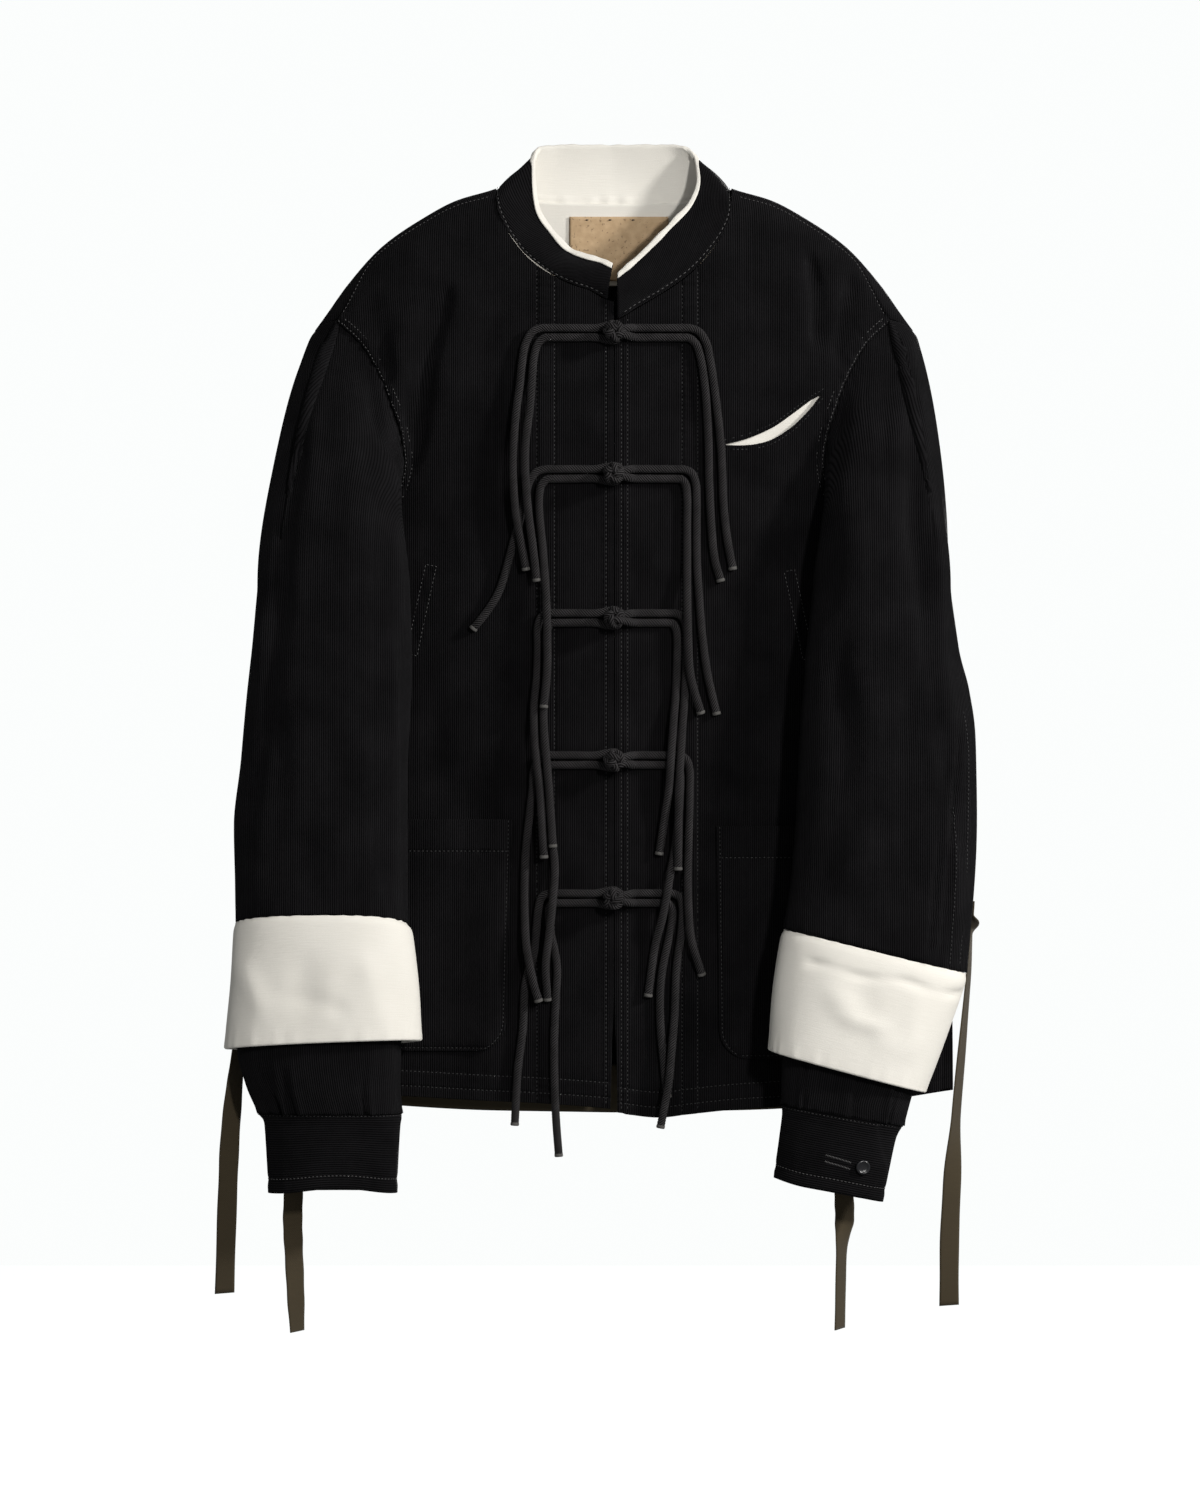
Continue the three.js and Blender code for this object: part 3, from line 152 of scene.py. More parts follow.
# %% [markdown]
# ## The form of the body
#
# Seen from above the body is a lens: front and back part from each other by about 65 mm at the middle and
# close at the side seams. Over the shoulder ridge it is rounded. A few long soft folds hang in it.

# %% Body sizes
CLOTH = 1.6
COTTON = 1.0
SEAM = 0.3
INSIDE = 0.7
CORD = 6.2
KNOT = 16.5
TAPE = 15
TIP_X, OVER_X, SEAM_X, NECK_X = 232, 225, 213, 91.2
RIDGE_ROUND = 25
STRAIGHT_TO = 93
SIDE_HEM_Z = -686

BODY = [(-720, 263.4, 34, 22), (-650, 263, 35, 22), (-550, 260, 37, 24), (-450, 255, 39, 25), (-360, 247, 41, 26),
        (-300, 238, 42, 27), (-275, 232, 42, 27), (-250.3, 228.2, 42, 27), (-230, 233, 42, 27), (-200, 240, 42, 27),
        (-150, 246, 42, 26), (-98, 250, 40, 25), (40, 252, 38, 24)]
half_width, front_depth, back_depth = (curve([(row[0], row[i]) for row in BODY]) for i in (1, 2, 3))
ridge = curve([(0, 35), (40, 31), (70, 22), (92, 12), (122, 3), (150, -12), (180, -33), (207, -63), (224, -87),
               (232, -98), (245, -122)])
neck_back = curve([(0, 0), (45, 1), (76, 5.5), (88, 10), (91.2, 12)])
NECK_FRONT = {
    -1: curve([(0, -78), (7, -76), (18, -70), (35, -64), (48.5, -57), (65, -45), (78.5, -29), (86, -15),
               (90.3, -3), (91.2, 7)]),
    1: curve([(0, -93), (5, -91), (14, -85.5), (28.5, -77), (47, -65.5), (61.5, -54), (77, -36), (87, -19),
              (90.5, -6), (91.2, 6)]),
}
HEM = {
    -1: curve([(0, -700), (57, -696), (103, -694), (162, -691), (231, -688), (265, -684)]),
    1: curve([(0, -703), (35, -707), (58, -704.5), (93, -701), (127, -699), (231, -691.5), (265, -684.5)]),
}
hem_back = curve([(0, -706), (100, -704), (200, -697), (265, -687)])
FOLDS = {
    "front": [(-136, -56, -161, -205, -5, 11), (-161, -75, -165, -165, 3, 10), (149, -32, 166, -125, -4.5, 10),
              (186, -50, 172, -118, -4, 9), (-112, -400, -122, -705, -3, 24), (96, -420, 108, -705, -3, 24),
              (-30, -250, -38, -560, 1.5, 26)],
    "back": [(-92, -140, -112, -700, -4, 26), (64, -180, 88, -700, -4, 26), (-10, -60, -4, -330, 2.5, 30),
             (-150, -70, -172, -240, -3.5, 14), (150, -70, 170, -250, -3.5, 14)],
}


def body_y(x, z, side):
    """Depth of the body: a lens between the side seams, rounded over the ridge, plus the folds."""
    across = np.minimum(0.9999, np.abs(x) / half_width(z))
    below = np.maximum(0, ridge(np.abs(x)) - z)
    full = np.sqrt(1 - across**3)
    slim = (1 - across**1.6) ** 0.8
    section = mix(full, slim, smooth(-110, -235, z))
    rounded = np.sqrt(below / (below + RIDGE_ROUND))
    deep = front_depth(z) if side == "front" else back_depth(z)
    calm = smooth(0, 12, below) * smooth(1, 0.93, across)
    out = SEAM / 2 * across**8 + deep * section * rounded + lines_height(FOLDS[side], x, z) * calm
    return -out if side == "front" else out


def body_normal(x, z, side):
    """Outward normal of the body, from its slopes along X and Z."""
    h = 0.05
    low = np.minimum(z, ridge(np.abs(x)) - 2 * h)
    slope_x = (body_y(x + h, low, side) - body_y(x - h, low, side)) / (2 * h)
    slope_z = (body_y(x, low + h, side) - body_y(x, low - h, side)) / (2 * h)
    sign = -1 if side == "front" else 1
    return unit(xyz(-slope_x * sign, sign, -slope_z * sign))


def skin(x, z, side, out=0.0):
    """A point on the body's outer face, moved out along the normal."""
    x, z, out = np.broadcast_arrays(np.asarray(x, float), np.asarray(z, float), np.asarray(out, float))
    return xyz(x, body_y(x, z, side), z) + body_normal(x, z, side) * out[..., None]


print("body form at the chest:", np.round(skin(100, -200, "front"), 1))

# %% [markdown]
# ## Meshes from grids
#
# Every sheet of cloth is a grid of points worked out at once. The faces join neighbours, and each corner
# carries a place on the cloth in metres as its UV, so that the ribs of the corduroy follow the cloth. A
# Solidify modifier then gives the sheet its thickness, inwards.

# %% Grid meshes
def grid_faces(rows, columns, closed):
    """Corner numbers of the grid's faces: each joins a point to the next along the row and the column."""
    i, j = np.meshgrid(np.arange(columns if closed else columns - 1), np.arange(rows - 1))
    right = (i + 1) % columns
    faces = np.stack([j * columns + i, j * columns + right, (j + 1) * columns + right, (j + 1) * columns + i], -1)
    return faces.reshape(-1, 4), np.stack([i, j], -1).reshape(-1, 2)


def grid_parts(points, uv, facing=1, closed=False):
    """Points, faces and corner UV of a grid. facing is 1 where its rows x its columns point out."""
    rows, columns = points.shape[:2]
    faces, cells = grid_faces(rows, columns, closed)
    corner_uv = np.stack([uv[cells[:, 1], cells[:, 0]], uv[cells[:, 1], cells[:, 0] + 1],
                          uv[cells[:, 1] + 1, cells[:, 0] + 1], uv[cells[:, 1] + 1, cells[:, 0]]], 1)
    if facing < 0:
        faces, corner_uv = faces[:, ::-1], corner_uv[:, ::-1]
    return points.reshape(-1, 3), faces, corner_uv.reshape(-1, 2)


def cloth_mesh(name, points, uv, facing=1, closed=False):
    """An object from a grid of points in mm and its UV in metres."""
    return mesh_object(name, *grid_parts(points, uv, facing, closed))


def mesh_object(name, points, faces, corner_uv=None):
    """An object at the origin from points in mm and faces of one size, smooth shaded."""
    mesh = bpy.data.meshes.new(name)
    count, size = faces.shape
    mesh.vertices.add(len(points))
    mesh.vertices.foreach_set("co", (points * MM).astype(np.float32).ravel())
    mesh.loops.add(count * size)
    mesh.loops.foreach_set("vertex_index", faces.astype(np.int32).ravel())
    mesh.polygons.add(count)
    mesh.polygons.foreach_set("loop_start", np.arange(0, count * size, size, dtype=np.int32))
    mesh.polygons.foreach_set("use_smooth", np.ones(count, bool))
    if corner_uv is not None:
        layer = mesh.uv_layers.new(name="cloth")
        layer.data.foreach_set("uv", corner_uv.astype(np.float32).ravel())
    mesh.validate()
    mesh.update(calc_edges=True)
    piece = bpy.data.objects.new(name, mesh)
    bpy.context.collection.objects.link(piece)
    return piece


def thicken(piece, thickness):
    """Gives a sheet its thickness inwards with a Solidify modifier."""
    solid = piece.modifiers.new("thickness", "SOLIDIFY")
    solid.thickness = thickness * MM
    solid.offset = -1
    return piece


def dress(piece, finish, slot, *nodes):
    """Gives a piece its finish and its place on the body of the jacket; slot is not used."""
    piece.data.materials.append(finish)
    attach(piece, "root")
    if nodes:
        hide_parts(*nodes)
    return piece


def grid_area(points, closed=False):
    """Area of a grid in square metres: half the cross product of each face's diagonals."""
    if closed:
        points = np.concatenate([points, points[:, :1]], axis=1)
    one = points[1:, 1:] - points[:-1, :-1]
    two = points[1:, :-1] - points[:-1, 1:]
    return float(np.linalg.norm(np.cross(one, two), axis=-1).sum() / 2 * MM * MM)


# %% [markdown]
# ## Finishes
#
# A finish is a small tree of nodes. The class below wraps a socket, so that shader maths reads as plain
# Python, and one method makes every other node.

# %% Shader maths
class Value:
    """A number on a surface: + - * / with others make Math nodes."""

    def __init__(self, finish, socket):
        self.finish = finish
        self.socket = socket

    def __add__(self, other):
        return self.finish.math("ADD", self, other)

    def __sub__(self, other):
        return self.finish.math("SUBTRACT", self, other)

    def __rsub__(self, other):
        return self.finish.math("SUBTRACT", other, self)

    def __mul__(self, other):
        return self.finish.math("MULTIPLY", self, other)

    def __truediv__(self, other):
        return self.finish.math("DIVIDE", self, other)

    __radd__ = __add__
    __rmul__ = __mul__


class Finish:
    """A material whose shader sockets are set first, and whose patterns are added to it."""

    def __init__(self, name, **sockets):
        self.material = bpy.data.materials.new(name)
        self.material.use_nodes = True
        self.tree = self.material.node_tree
        self.tree.nodes.clear()
        self.shader = self.node("ShaderNodeBsdfPrincipled", inputs=sockets)
        self.node("ShaderNodeOutputMaterial", inputs={"Surface": self.shader.outputs["BSDF"]})

    def node(self, kind, settings=None, inputs=None):
        """A node of any type: its settings first, then the values or links of its sockets."""
        node = self.tree.nodes.new(kind)
        for key, value in (settings or {}).items():
            if key == "stops":
                ramp = node.color_ramp.elements
                while len(ramp) < len(value):
                    ramp.new(0.5)
                for element, (place, colour) in zip(ramp, value):
                    element.position, element.color = place, (*colour, 1)
            else:
                setattr(node, key, value)
        for key, value in (inputs or {}).items():
            self.feed(node, key, value)
        return node

    def feed(self, node, key, value):
        """Links a value, or sets a number, on one socket of a node."""
        if isinstance(value, Value):
            value = value.socket
        if isinstance(value, bpy.types.NodeSocket):
            self.tree.links.new(value, node.inputs[key])
        else:
            node.inputs[key].default_value = value

    def math(self, operation, *terms):
        """A Math node."""
        node = self.node("ShaderNodeMath", {"operation": operation}, dict(enumerate(terms)))
        return Value(self, node.outputs[0])

    def cloth(self):
        """The place on the cloth: across and along it, in metres, from the UV."""
        uv = self.node("ShaderNodeUVMap", {"uv_map": "cloth"}).outputs[0]
        parts = self.node("ShaderNodeSeparateXYZ", inputs={0: uv})
        return uv, Value(self, parts.outputs[0]), Value(self, parts.outputs[1])

    def noise(self, vector, scale, detail=2.0, stretch=None):
        """Noise between 0 and 1, stretched by a Mapping node where asked."""
        if stretch:
            mapped = self.node("ShaderNodeMapping", inputs={"Vector": vector, "Scale": stretch})
            vector = mapped.outputs[0]
        node = self.node("ShaderNodeTexNoise", inputs={"Vector": vector, "Scale": scale, "Detail": detail})
        return Value(self, node.outputs[0])

    def object_place(self):
        """The place in the jacket's own space."""
        return self.node("ShaderNodeTexCoord").outputs["Object"]

    def blend(self, factor, one, two):
        """A colour between two others."""
        node = self.node("ShaderNodeMix", {"data_type": "RGBA"},
                         {0: factor, 6: one if hasattr(one, "node") else (*one, 1),
                          7: two if hasattr(two, "node") else (*two, 1)})
        return node.outputs[2]

    def colour(self, socket):
        """Feeds the base colour."""
        self.feed(self.shader, "Base Color", socket)

    def bump(self, height, distance, strength=1.0):
        """Feeds the normal with a bump of that many metres."""
        node = self.node("ShaderNodeBump", inputs={"Height": height, "Distance": distance, "Strength": strength})
        self.feed(self.shader, "Normal", node.outputs[0])


def fract_ridge(finish, value, pitch):
    """A row of round ribs: 4 t (1 - t), with t the place inside one pitch. Also gives the rib's number."""
    turns = value / pitch
    t = finish.math("FRACT", turns)
    return 4 * t * (1 - t), finish.math("FLOOR", turns)


print("shader maths ready")

# %% [markdown]
# Corduroy has a cut pile in fine ribs, about 1.7 mm apart here. Its colour paints shade deep black into the
# valleys between ribs and a little grey painted highlight on their tops, some ribs more than others, and the
# pile is brushed into faint clouds.

# %% Corduroy
WALE = 0.0017
# The valley colour is painted shade; the top colour is a painted highlight on the ribs and also the pile's lighter
# tone.
BLACK_VALLEY_PAINTED_SHADE = (0.0006, 0.00055, 0.0007)
BLACK_TOP_PAINTED_HIGHLIGHT_AND_PILE = (0.0135, 0.0128, 0.0141)


def corduroy(name, turned=False, bias=False):
    """Ribs along the cloth's length; across it where turned; at 45 degrees on the bias."""
    finish = Finish(name, **{"Roughness": 0.95, "Specular IOR Level": 0.04, "Sheen Weight": 0.022,
                             "Sheen Roughness": 0.4, "Sheen Tint": (0.7, 0.7, 0.74, 1)})
    uv, across, along = finish.cloth()
    if bias:
        across = (across + along) * 0.7071
    elif turned:
        across = along
    ribs, number = fract_ridge(finish, across, WALE)
    streak = finish.node("ShaderNodeTexWhiteNoise", {"noise_dimensions": "1D"}, {"W": number.socket})
    streak = Value(finish, streak.outputs["Value"])
    place = finish.object_place()
    cloud = finish.noise(place, 26, 3)
    brushed = finish.noise(uv, 1, 3, stretch=(420, 60, 1) if not turned else (60, 420, 1))
    pile = finish.noise(place, 1500, 1)
    worn = finish.noise(place, 90, 2)
    # light: a painted highlight on the rib tops and painted shade in the valleys, plus the pile's real brushed and
    # worn tone.
    light = ribs * (0.62 + 0.16 * streak) * (0.1 + 1.1 * cloud) + 0.3 * brushed * worn + 0.12 * pile * cloud
    finish.colour(finish.blend(light, BLACK_VALLEY_PAINTED_SHADE, BLACK_TOP_PAINTED_HIGHLIGHT_AND_PILE))
    finish.bump(ribs + 0.4 * pile + 0.5 * worn, 0.0008, 1.0)
    return finish.material


CORDUROY = corduroy("corduroy")
CORDUROY_TURNED = corduroy("corduroy_turned", turned=True)
CORDUROY_BIAS = corduroy("corduroy_bias", bias=True)


# %% [markdown]
# The cotton is a plain weave, unbleached and slightly uneven. The tape is an olive-brown twill, the label
# a stiff brown paper with dark flecks, and the cord a bias strip of the corduroy, so its ribs run round it
# like a screw thread.

# %% Cotton, twill, paper, cord, thread and button
def weave(name, light, dark, pitch=0.0006, twill=False):
    """Plain weave: two rows of ribs, one across the other. Twill: one row of diagonal ribs."""
    finish = Finish(name, **{"Roughness": 0.9, "Specular IOR Level": 0.2, "Sheen Weight": 0.1})
    uv, across, along = finish.cloth()
    if twill:
        threads, number = fract_ridge(finish, across + along * 0.8, pitch)
    else:
        warp, number = fract_ridge(finish, across, pitch)
        weft, number = fract_ridge(finish, along, pitch)
        threads = (warp + weft) * 0.5
    place = finish.object_place()
    slubs = finish.noise(uv, 1, 2, stretch=(70, 900, 1))
    cloud = finish.noise(place, 22, 3)
    finish.colour(finish.blend(0.4 * threads + 0.25 * slubs + 0.4 * cloud, dark, light))
    finish.bump(threads + slubs * 0.8 + cloud * 1.5, 0.00018, 0.7)
    return finish.material


def kraft():
    """Brown paper: noise for the pulp, and dark flecks where a fine noise peaks."""
    finish = Finish("kraft_label", **{"Roughness": 0.8, "Specular IOR Level": 0.25})
    place = finish.object_place()
    pulp = finish.noise(place, 180, 4)
    flecks = finish.math("GREATER_THAN", finish.noise(place, 420, 2), 0.66)
    base = finish.blend(pulp, (0.36, 0.24, 0.13), (0.62, 0.45, 0.28))
    finish.colour(finish.blend(flecks * 0.55, base, (0.12, 0.075, 0.04)))
    finish.bump(pulp, 0.0002, 0.6)
    return finish.material


RIB_PITCH = 2.15
SLANT = 8 * RIB_PITCH / (math.pi * CORD)


def rouleau(name="rouleau_cord"):
    """Bias ribs round a cord: the ribs are level where the turn round it and the run along it add up."""
    finish = Finish(name, **{"Roughness": 0.9, "Specular IOR Level": 0.08, "Sheen Weight": 0.04,
                             "Sheen Roughness": 0.4, "Sheen Tint": (0.7, 0.7, 0.72, 1)})
    uv, around, along = finish.cloth()
    ribs, number = fract_ridge(finish, along + around * SLANT, RIB_PITCH * MM)
    cloud = finish.noise(finish.object_place(), 90, 2)
    # The rib tops are lightened as a painted highlight and the valleys darkened as painted shade; the cloud is a
    # real uneven tone.
    finish.colour(finish.blend(ribs * ribs * (0.35 + 0.9 * cloud), (0.0007, 0.0006, 0.0007), (0.05, 0.047, 0.049)))
    finish.bump(ribs, 0.0011, 1.0)
    return finish.material


def plain(name, colour, roughness=0.7, **more):
    """Thread, frayed ends and other small plain things, mottled by a fine noise."""
    finish = Finish(name, **{"Roughness": roughness, **more})
    grain = finish.noise(finish.object_place(), 700, 2)
    finish.colour(finish.blend(grain, tuple(0.7 * c for c in colour), tuple(1.25 * c for c in colour)))
    finish.bump(grain, 0.0001, 0.5)
    return finish.material


CREAM = weave("cream_cotton", (0.86, 0.835, 0.78), (0.70, 0.67, 0.60))
OLIVE = weave("olive_cotton", (0.075, 0.06, 0.036), (0.04, 0.032, 0.02))
TWILL = weave("olive_tape", (0.062, 0.047, 0.026), (0.026, 0.02, 0.011), pitch=0.0014, twill=True)
KRAFT = kraft()
ROULEAU = rouleau()
BLACK_THREAD = plain("black_thread", (0.017, 0.0165, 0.0175), 0.55)
# The grey thread is the dark stitching lightened to grey, a painted highlight on the puckered seams.
THREAD_PAINTED_HIGHLIGHT = plain("thread_painted_highlight", (0.075, 0.073, 0.074), 0.6)
FRAY = plain("frayed_end", (0.075, 0.072, 0.068), 0.95)
BUTTON = plain("button", (0.008, 0.008, 0.01), 0.28, **{"Specular IOR Level": 0.5})
print("finishes:", len(bpy.data.materials))

# %% [markdown]
# ## Cords
#
# A cord is a round section carried along a smooth route. The route is a list of points given on the front
# of the jacket: how far across, how high, and how far the cord's middle lies off the cloth.
# Where one tail crosses another it climbs over it.

# %% Routes and tubes
RIB_HIGH = 0.34
RIB_STEP = 0.66


def smooth_route(points, spacing):
    """A centripetal Catmull-Rom curve through the points, then places evenly spaced along it."""
    p = np.vstack([2 * points[0] - points[1], points, 2 * points[-1] - points[-2]])
    gap = np.sqrt(np.linalg.norm(np.diff(p, axis=0), axis=1))[:, None]
    g0, g1, g2 = gap[:-2], gap[1:-1], gap[2:]
    a, b, c, d = p[:-3], p[1:-2], p[2:-1], p[3:]
    start = ((b - a) / g0 - (c - a) / (g0 + g1) + (c - b) / g1) * g1
    end = ((c - b) / g1 - (d - b) / (g1 + g2) + (d - c) / g2) * g1
    t = np.linspace(0, 1, 24, endpoint=False)[None, :, None]
    b, c, start, end = (part[:, None] for part in (b, c, start, end))
    dense = ((2 * t**3 - 3 * t**2 + 1) * b + (t**3 - 2 * t**2 + t) * start
             + (3 * t**2 - 2 * t**3) * c + (t**3 - t**2) * end).reshape(-1, 3)
    dense = np.vstack([dense, points[-1]])
    run = np.concatenate([[0], np.cumsum(np.linalg.norm(np.diff(dense, axis=0), axis=1))])
    places = np.linspace(0, run[-1], max(8, round(run[-1] / spacing)) + 1)
    return np.stack([np.interp(places, run, dense[:, i]) for i in range(3)], -1), run[-1]


def frame_along(path, out=(0.0, -1.0, 0.0)):
    """Tangent, sideways and outward directions along a path, kept upright to a given way out."""
    tangent = unit(np.gradient(path, axis=0))
    side = unit(np.cross(tangent, np.broadcast_to(out, path.shape)))
    return tangent, side, np.cross(side, tangent)


def rib_height(run, turn):
    """The ribs of a cord: a row of round ridges that wind round it, RIB_HIGH from valley to top."""
    t = ((run + turn * SLANT) / RIB_PITCH) % 1
    return RIB_HIGH * (4 * t * (1 - t) - 0.67)


def tube_parts(path, radius, sides=12, ribbed=True):
    """Points, faces and corner UV of a tube: rings of radius r round the path, cos a to the side and
    sin a outwards; the ends taper to the middle of a ring, so that no hole is left."""
    tangent, side, lift = frame_along(path)
    radius = np.broadcast_to(radius, len(path))
    a = np.linspace(0, 2 * np.pi, sides, endpoint=False)
    ring = np.cos(a)[None, :, None] * side[:, None] + np.sin(a)[None, :, None] * lift[:, None]
    run = np.concatenate([[0], np.cumsum(np.linalg.norm(np.diff(path, axis=0), axis=1))])
    high = radius[:, None] + (rib_height(run[:, None], a[None] * radius.mean()) if ribbed else 0)
    rows = path[:, None] + high[..., None] * ring
    rows = np.concatenate([np.repeat(path[:1, None], sides, 1), rows, np.repeat(path[-1:, None], sides, 1)])
    run = np.concatenate([run[:1], run, run[-1:]])
    turn = np.linspace(0, 2 * np.pi, sides + 1) * radius.mean()
    uv = np.stack(np.broadcast_arrays(turn[None], run[:, None]), -1) * MM
    return grid_parts(rows, uv, facing=-1, closed=True)


def tube(name, *parts, **options):
    """An object that is one tube, from the same values as tube_parts."""
    return mesh_object(name, *tube_parts(*parts, **options))


def joined(*parts):
    """Points, faces and corner UV of several meshes with faces of the same size, as one."""
    shift = np.cumsum([0] + [len(points) for points, faces, uv in parts[:-1]])
    return (np.concatenate([points for points, faces, uv in parts]),
            np.concatenate([faces + by for by, (points, faces, uv) in zip(shift, parts)]),
            np.concatenate([uv for points, faces, uv in parts]))


def over_front(rows):
    """Route rows (across, height, lift) as points over the front."""
    x, z, lift = np.array(rows, float).T
    return skin(x, z, "front", lift)


print("tubes ready")

# %% Tails of the frogs
TAILS = {
    "left_1a": [(-49.1, -98.7, 3.6), (-56, -98.9, 3.6), (-63, -102, 3.8), (-68, -111, 4), (-70.6, -125, 4.8),
                (-72.3, -142, 5.8), (-75.5, -170.9, 8), (-76.4, -211, 10.4), (-74.2, -241.8, 10.4),
                (-70.2, -265.7, 9.5), (-67, -284, 7)],
    "left_1b": [(-49.1, -106.1, 3.6), (-53.5, -106.5, 3.6), (-58.3, -110.5, 3.8), (-61.2, -119, 4),
                (-62.6, -132, 4.6), (-64, -155.5, 7), (-67.6, -194.8, 10.4), (-65.5, -234.1, 10.4),
                (-61.6, -265.7, 10.2), (-58.5, -292.6, 8)],
    "left_2a": [(-47.1, -207.3, 3.6), (-53, -207.5, 3.6), (-59.5, -209.5, 3.6), (-64.5, -216, 3.6),
                (-68, -229, 3.6), (-71.5, -244, 3.6), (-76.6, -262, 3.6), (-87.8, -300.3, 3.6),
                (-97, -316, 3.6), (-107.8, -329.6, 3.6)],
    "left_2b": [(-47.1, -214.7, 3.6), (-51, -215.1, 3.6), (-55.4, -219, 3.6), (-57.2, -227, 3.6),
                (-57, -243, 3.6), (-54.7, -266, 4.5), (-51.6, -297.2, 9), (-50.4, -316, 10.5),
                (-50, -335.7, 10.5), (-50, -358, 10.5), (-52.4, -389.6, 12)],
    "left_3a": [(-44.6, -318.2, 3.6), (-50.5, -318.4, 3.6), (-55.5, -321.2, 3.6), (-58, -328, 3.6),
                (-58.2, -343.4, 3.6), (-58.9, -365.8, 3.6), (-61, -388.9, 5), (-60.3, -409.6, 9),
                (-58.2, -432, 10.5), (-55.8, -454.3, 10.5), (-52.8, -505.1, 10.5)],
    "left_3b": [(-44.6, -325.6, 3.6), (-47.6, -326, 3.6), (-50.4, -329.6, 3.6), (-51.4, -337, 3.6),
                (-51.3, -350, 3.6), (-51.5, -370, 3.6), (-53.6, -392, 4.6), (-52.4, -412, 9.5),
                (-50.6, -431, 10.5), (-48.8, -454, 10.5), (-46, -496.7, 10.5)],
    "left_4a": [(-44.6, -427.5, 3.6), (-51, -427.7, 3.6), (-57.5, -431, 3.6), (-61.3, -440, 3.6),
                (-62.2, -452.8, 3.6), (-64.2, -470, 3.6), (-67.8, -504.4, 3.6), (-68.5, -541.3, 4.5),
                (-66.6, -573.7, 10), (-60.8, -604.5, 10.4), (-57.5, -616, 9.5)],
    "left_4b": [(-44.6, -434.9, 3.6), (-48, -435.3, 3.6), (-51.6, -439, 3.6), (-53, -447, 3.6),
                (-52.6, -462, 3.6), (-51, -478, 3.6), (-46.5, -500, 3.8), (-44.9, -515, 7),
                (-46.2, -537.5, 10.5), (-49.3, -566, 10.5), (-52, -589.8, 9.5), (-51, -615.2, 4.5)],
    "left_5a": [(-44.6, -533.8, 3.6), (-50.5, -534, 3.6), (-55.5, -537, 3.6), (-57.8, -545, 3.6),
                (-59.6, -560.6, 3.6), (-61.6, -580, 3.6), (-67.8, -602.9, 3.6), (-70, -638.3, 3.6),
                (-73.9, -670.7, 3.6), (-76.2, -711.5, 3.6)],
    "left_5b": [(-44.6, -541.2, 3.6), (-47.3, -541.6, 3.6), (-49.6, -545.2, 3.6), (-49.8, -553, 3.6),
                (-48.4, -565, 3.6), (-45.8, -577, 3.6), (-43.6, -592, 3.6), (-44.6, -614.5, 3.6),
                (-46, -654.5, 3.6), (-44.7, -703.8, 3.6), (-42.4, -735.4, 3.6)],
    "right_1a": [(52.6, -98.7, 3.6), (58.5, -98.9, 3.6), (65.5, -101.8, 3.6), (70.8, -110, 3.6),
                 (73.8, -123, 3.6), (78.5, -155.5, 3.6), (82.4, -194.8, 3.6), (83.9, -234.1, 3.6),
                 (87, -262, 3.6), (90.9, -283.4, 3.6)],
    "right_1b": [(52.6, -106.1, 3.6), (57.5, -106.5, 3.6), (62.8, -110.8, 3.6), (66.3, -120.5, 3.6),
                 (70.2, -146.3, 3.6), (72.4, -185.6, 3.6), (73.2, -224.8, 3.6), (77, -275.7, 3.6),
                 (81.6, -292.6, 3.6)],
    "right_2a": [(48.1, -214.7, 3.6), (51.5, -215.1, 3.6), (54.8, -219, 3.6), (56, -227, 3.6), (56, -250, 3.6),
                 (55.8, -281, 5), (55.4, -306.5, 10), (56, -335.7, 10.5), (58, -365.8, 10), (66.2, -394.2, 5)],
    "right_2b": [(48.1, -207.3, 3.6), (54, -207.5, 3.6), (59.5, -210.3, 3.6), (62.6, -218, 3.6),
                 (63.2, -230, 3.6), (63.4, -277.2, 3.6), (65.2, -306.5, 3.6), (67.6, -335.7, 3.6),
                 (71.8, -365.8, 3.6), (78.5, -395, 3.6)],
    "right_3a": [(40.6, -325.6, 3.6), (44.2, -326, 3.6), (47.3, -330, 3.6), (48.4, -339, 3.6), (48.2, -355, 3.6),
                 (47.2, -380.4, 3.6), (45, -405, 8), (43, -431, 10.5), (41.4, -455, 9), (38.5, -475.9, 5),
                 (34.7, -502.8, 3.6)],
    "right_3b": [(40.6, -318.2, 3.6), (47, -318.4, 3.6), (52.4, -321.4, 3.6), (55.1, -329, 3.6),
                 (55.4, -345, 3.6), (54.2, -380, 3.6), (52, -405, 8), (50.3, -431, 10.5), (49, -455, 10.5),
                 (48.8, -480, 10.5), (48.5, -514.4, 10.5)],
    "right_4a": [(44.1, -427.5, 3.6), (50, -427.7, 3.6), (55.2, -430.5, 3.6), (57.8, -438, 3.6), (58, -450, 3.6),
                 (57.8, -469, 3.6), (56.6, -510, 4), (56, -530, 9), (56.4, -545, 10.5), (58.5, -568, 9),
                 (67, -596, 4)],
    "right_4b": [(44.1, -434.9, 3.6), (47.3, -435.3, 3.6), (50, -438.8, 3.6), (50.9, -447, 3.6),
                 (50.3, -460, 3.6), (49, -480, 3.6), (46, -503, 4), (42.8, -519, 8), (39.6, -537.5, 10.5),
                 (36.8, -552, 9.5), (31.6, -573.7, 4), (26.2, -612.2, 3.6)],
    "right_5a": [(38.6, -541.2, 3.6), (41.5, -541.6, 3.6), (44, -545.2, 3.6), (44.4, -553, 3.6),
                 (42.4, -566, 3.6), (36.2, -598.3, 3.6), (35.4, -630.6, 3.6), (38, -663, 3.6), (40.8, -690, 3.6)],
    "right_5b": [(38.6, -533.8, 3.6), (45, -534, 3.6), (50.3, -537, 3.6), (52.4, -545, 3.6), (51.6, -563, 3.6),
                 (48, -590, 3.6), (46.2, -630.6, 4), (43.8, -655, 9.5), (41.4, -680, 10.5), (35.4, -713, 10)],
}
FRAY_LENGTH = 1.6


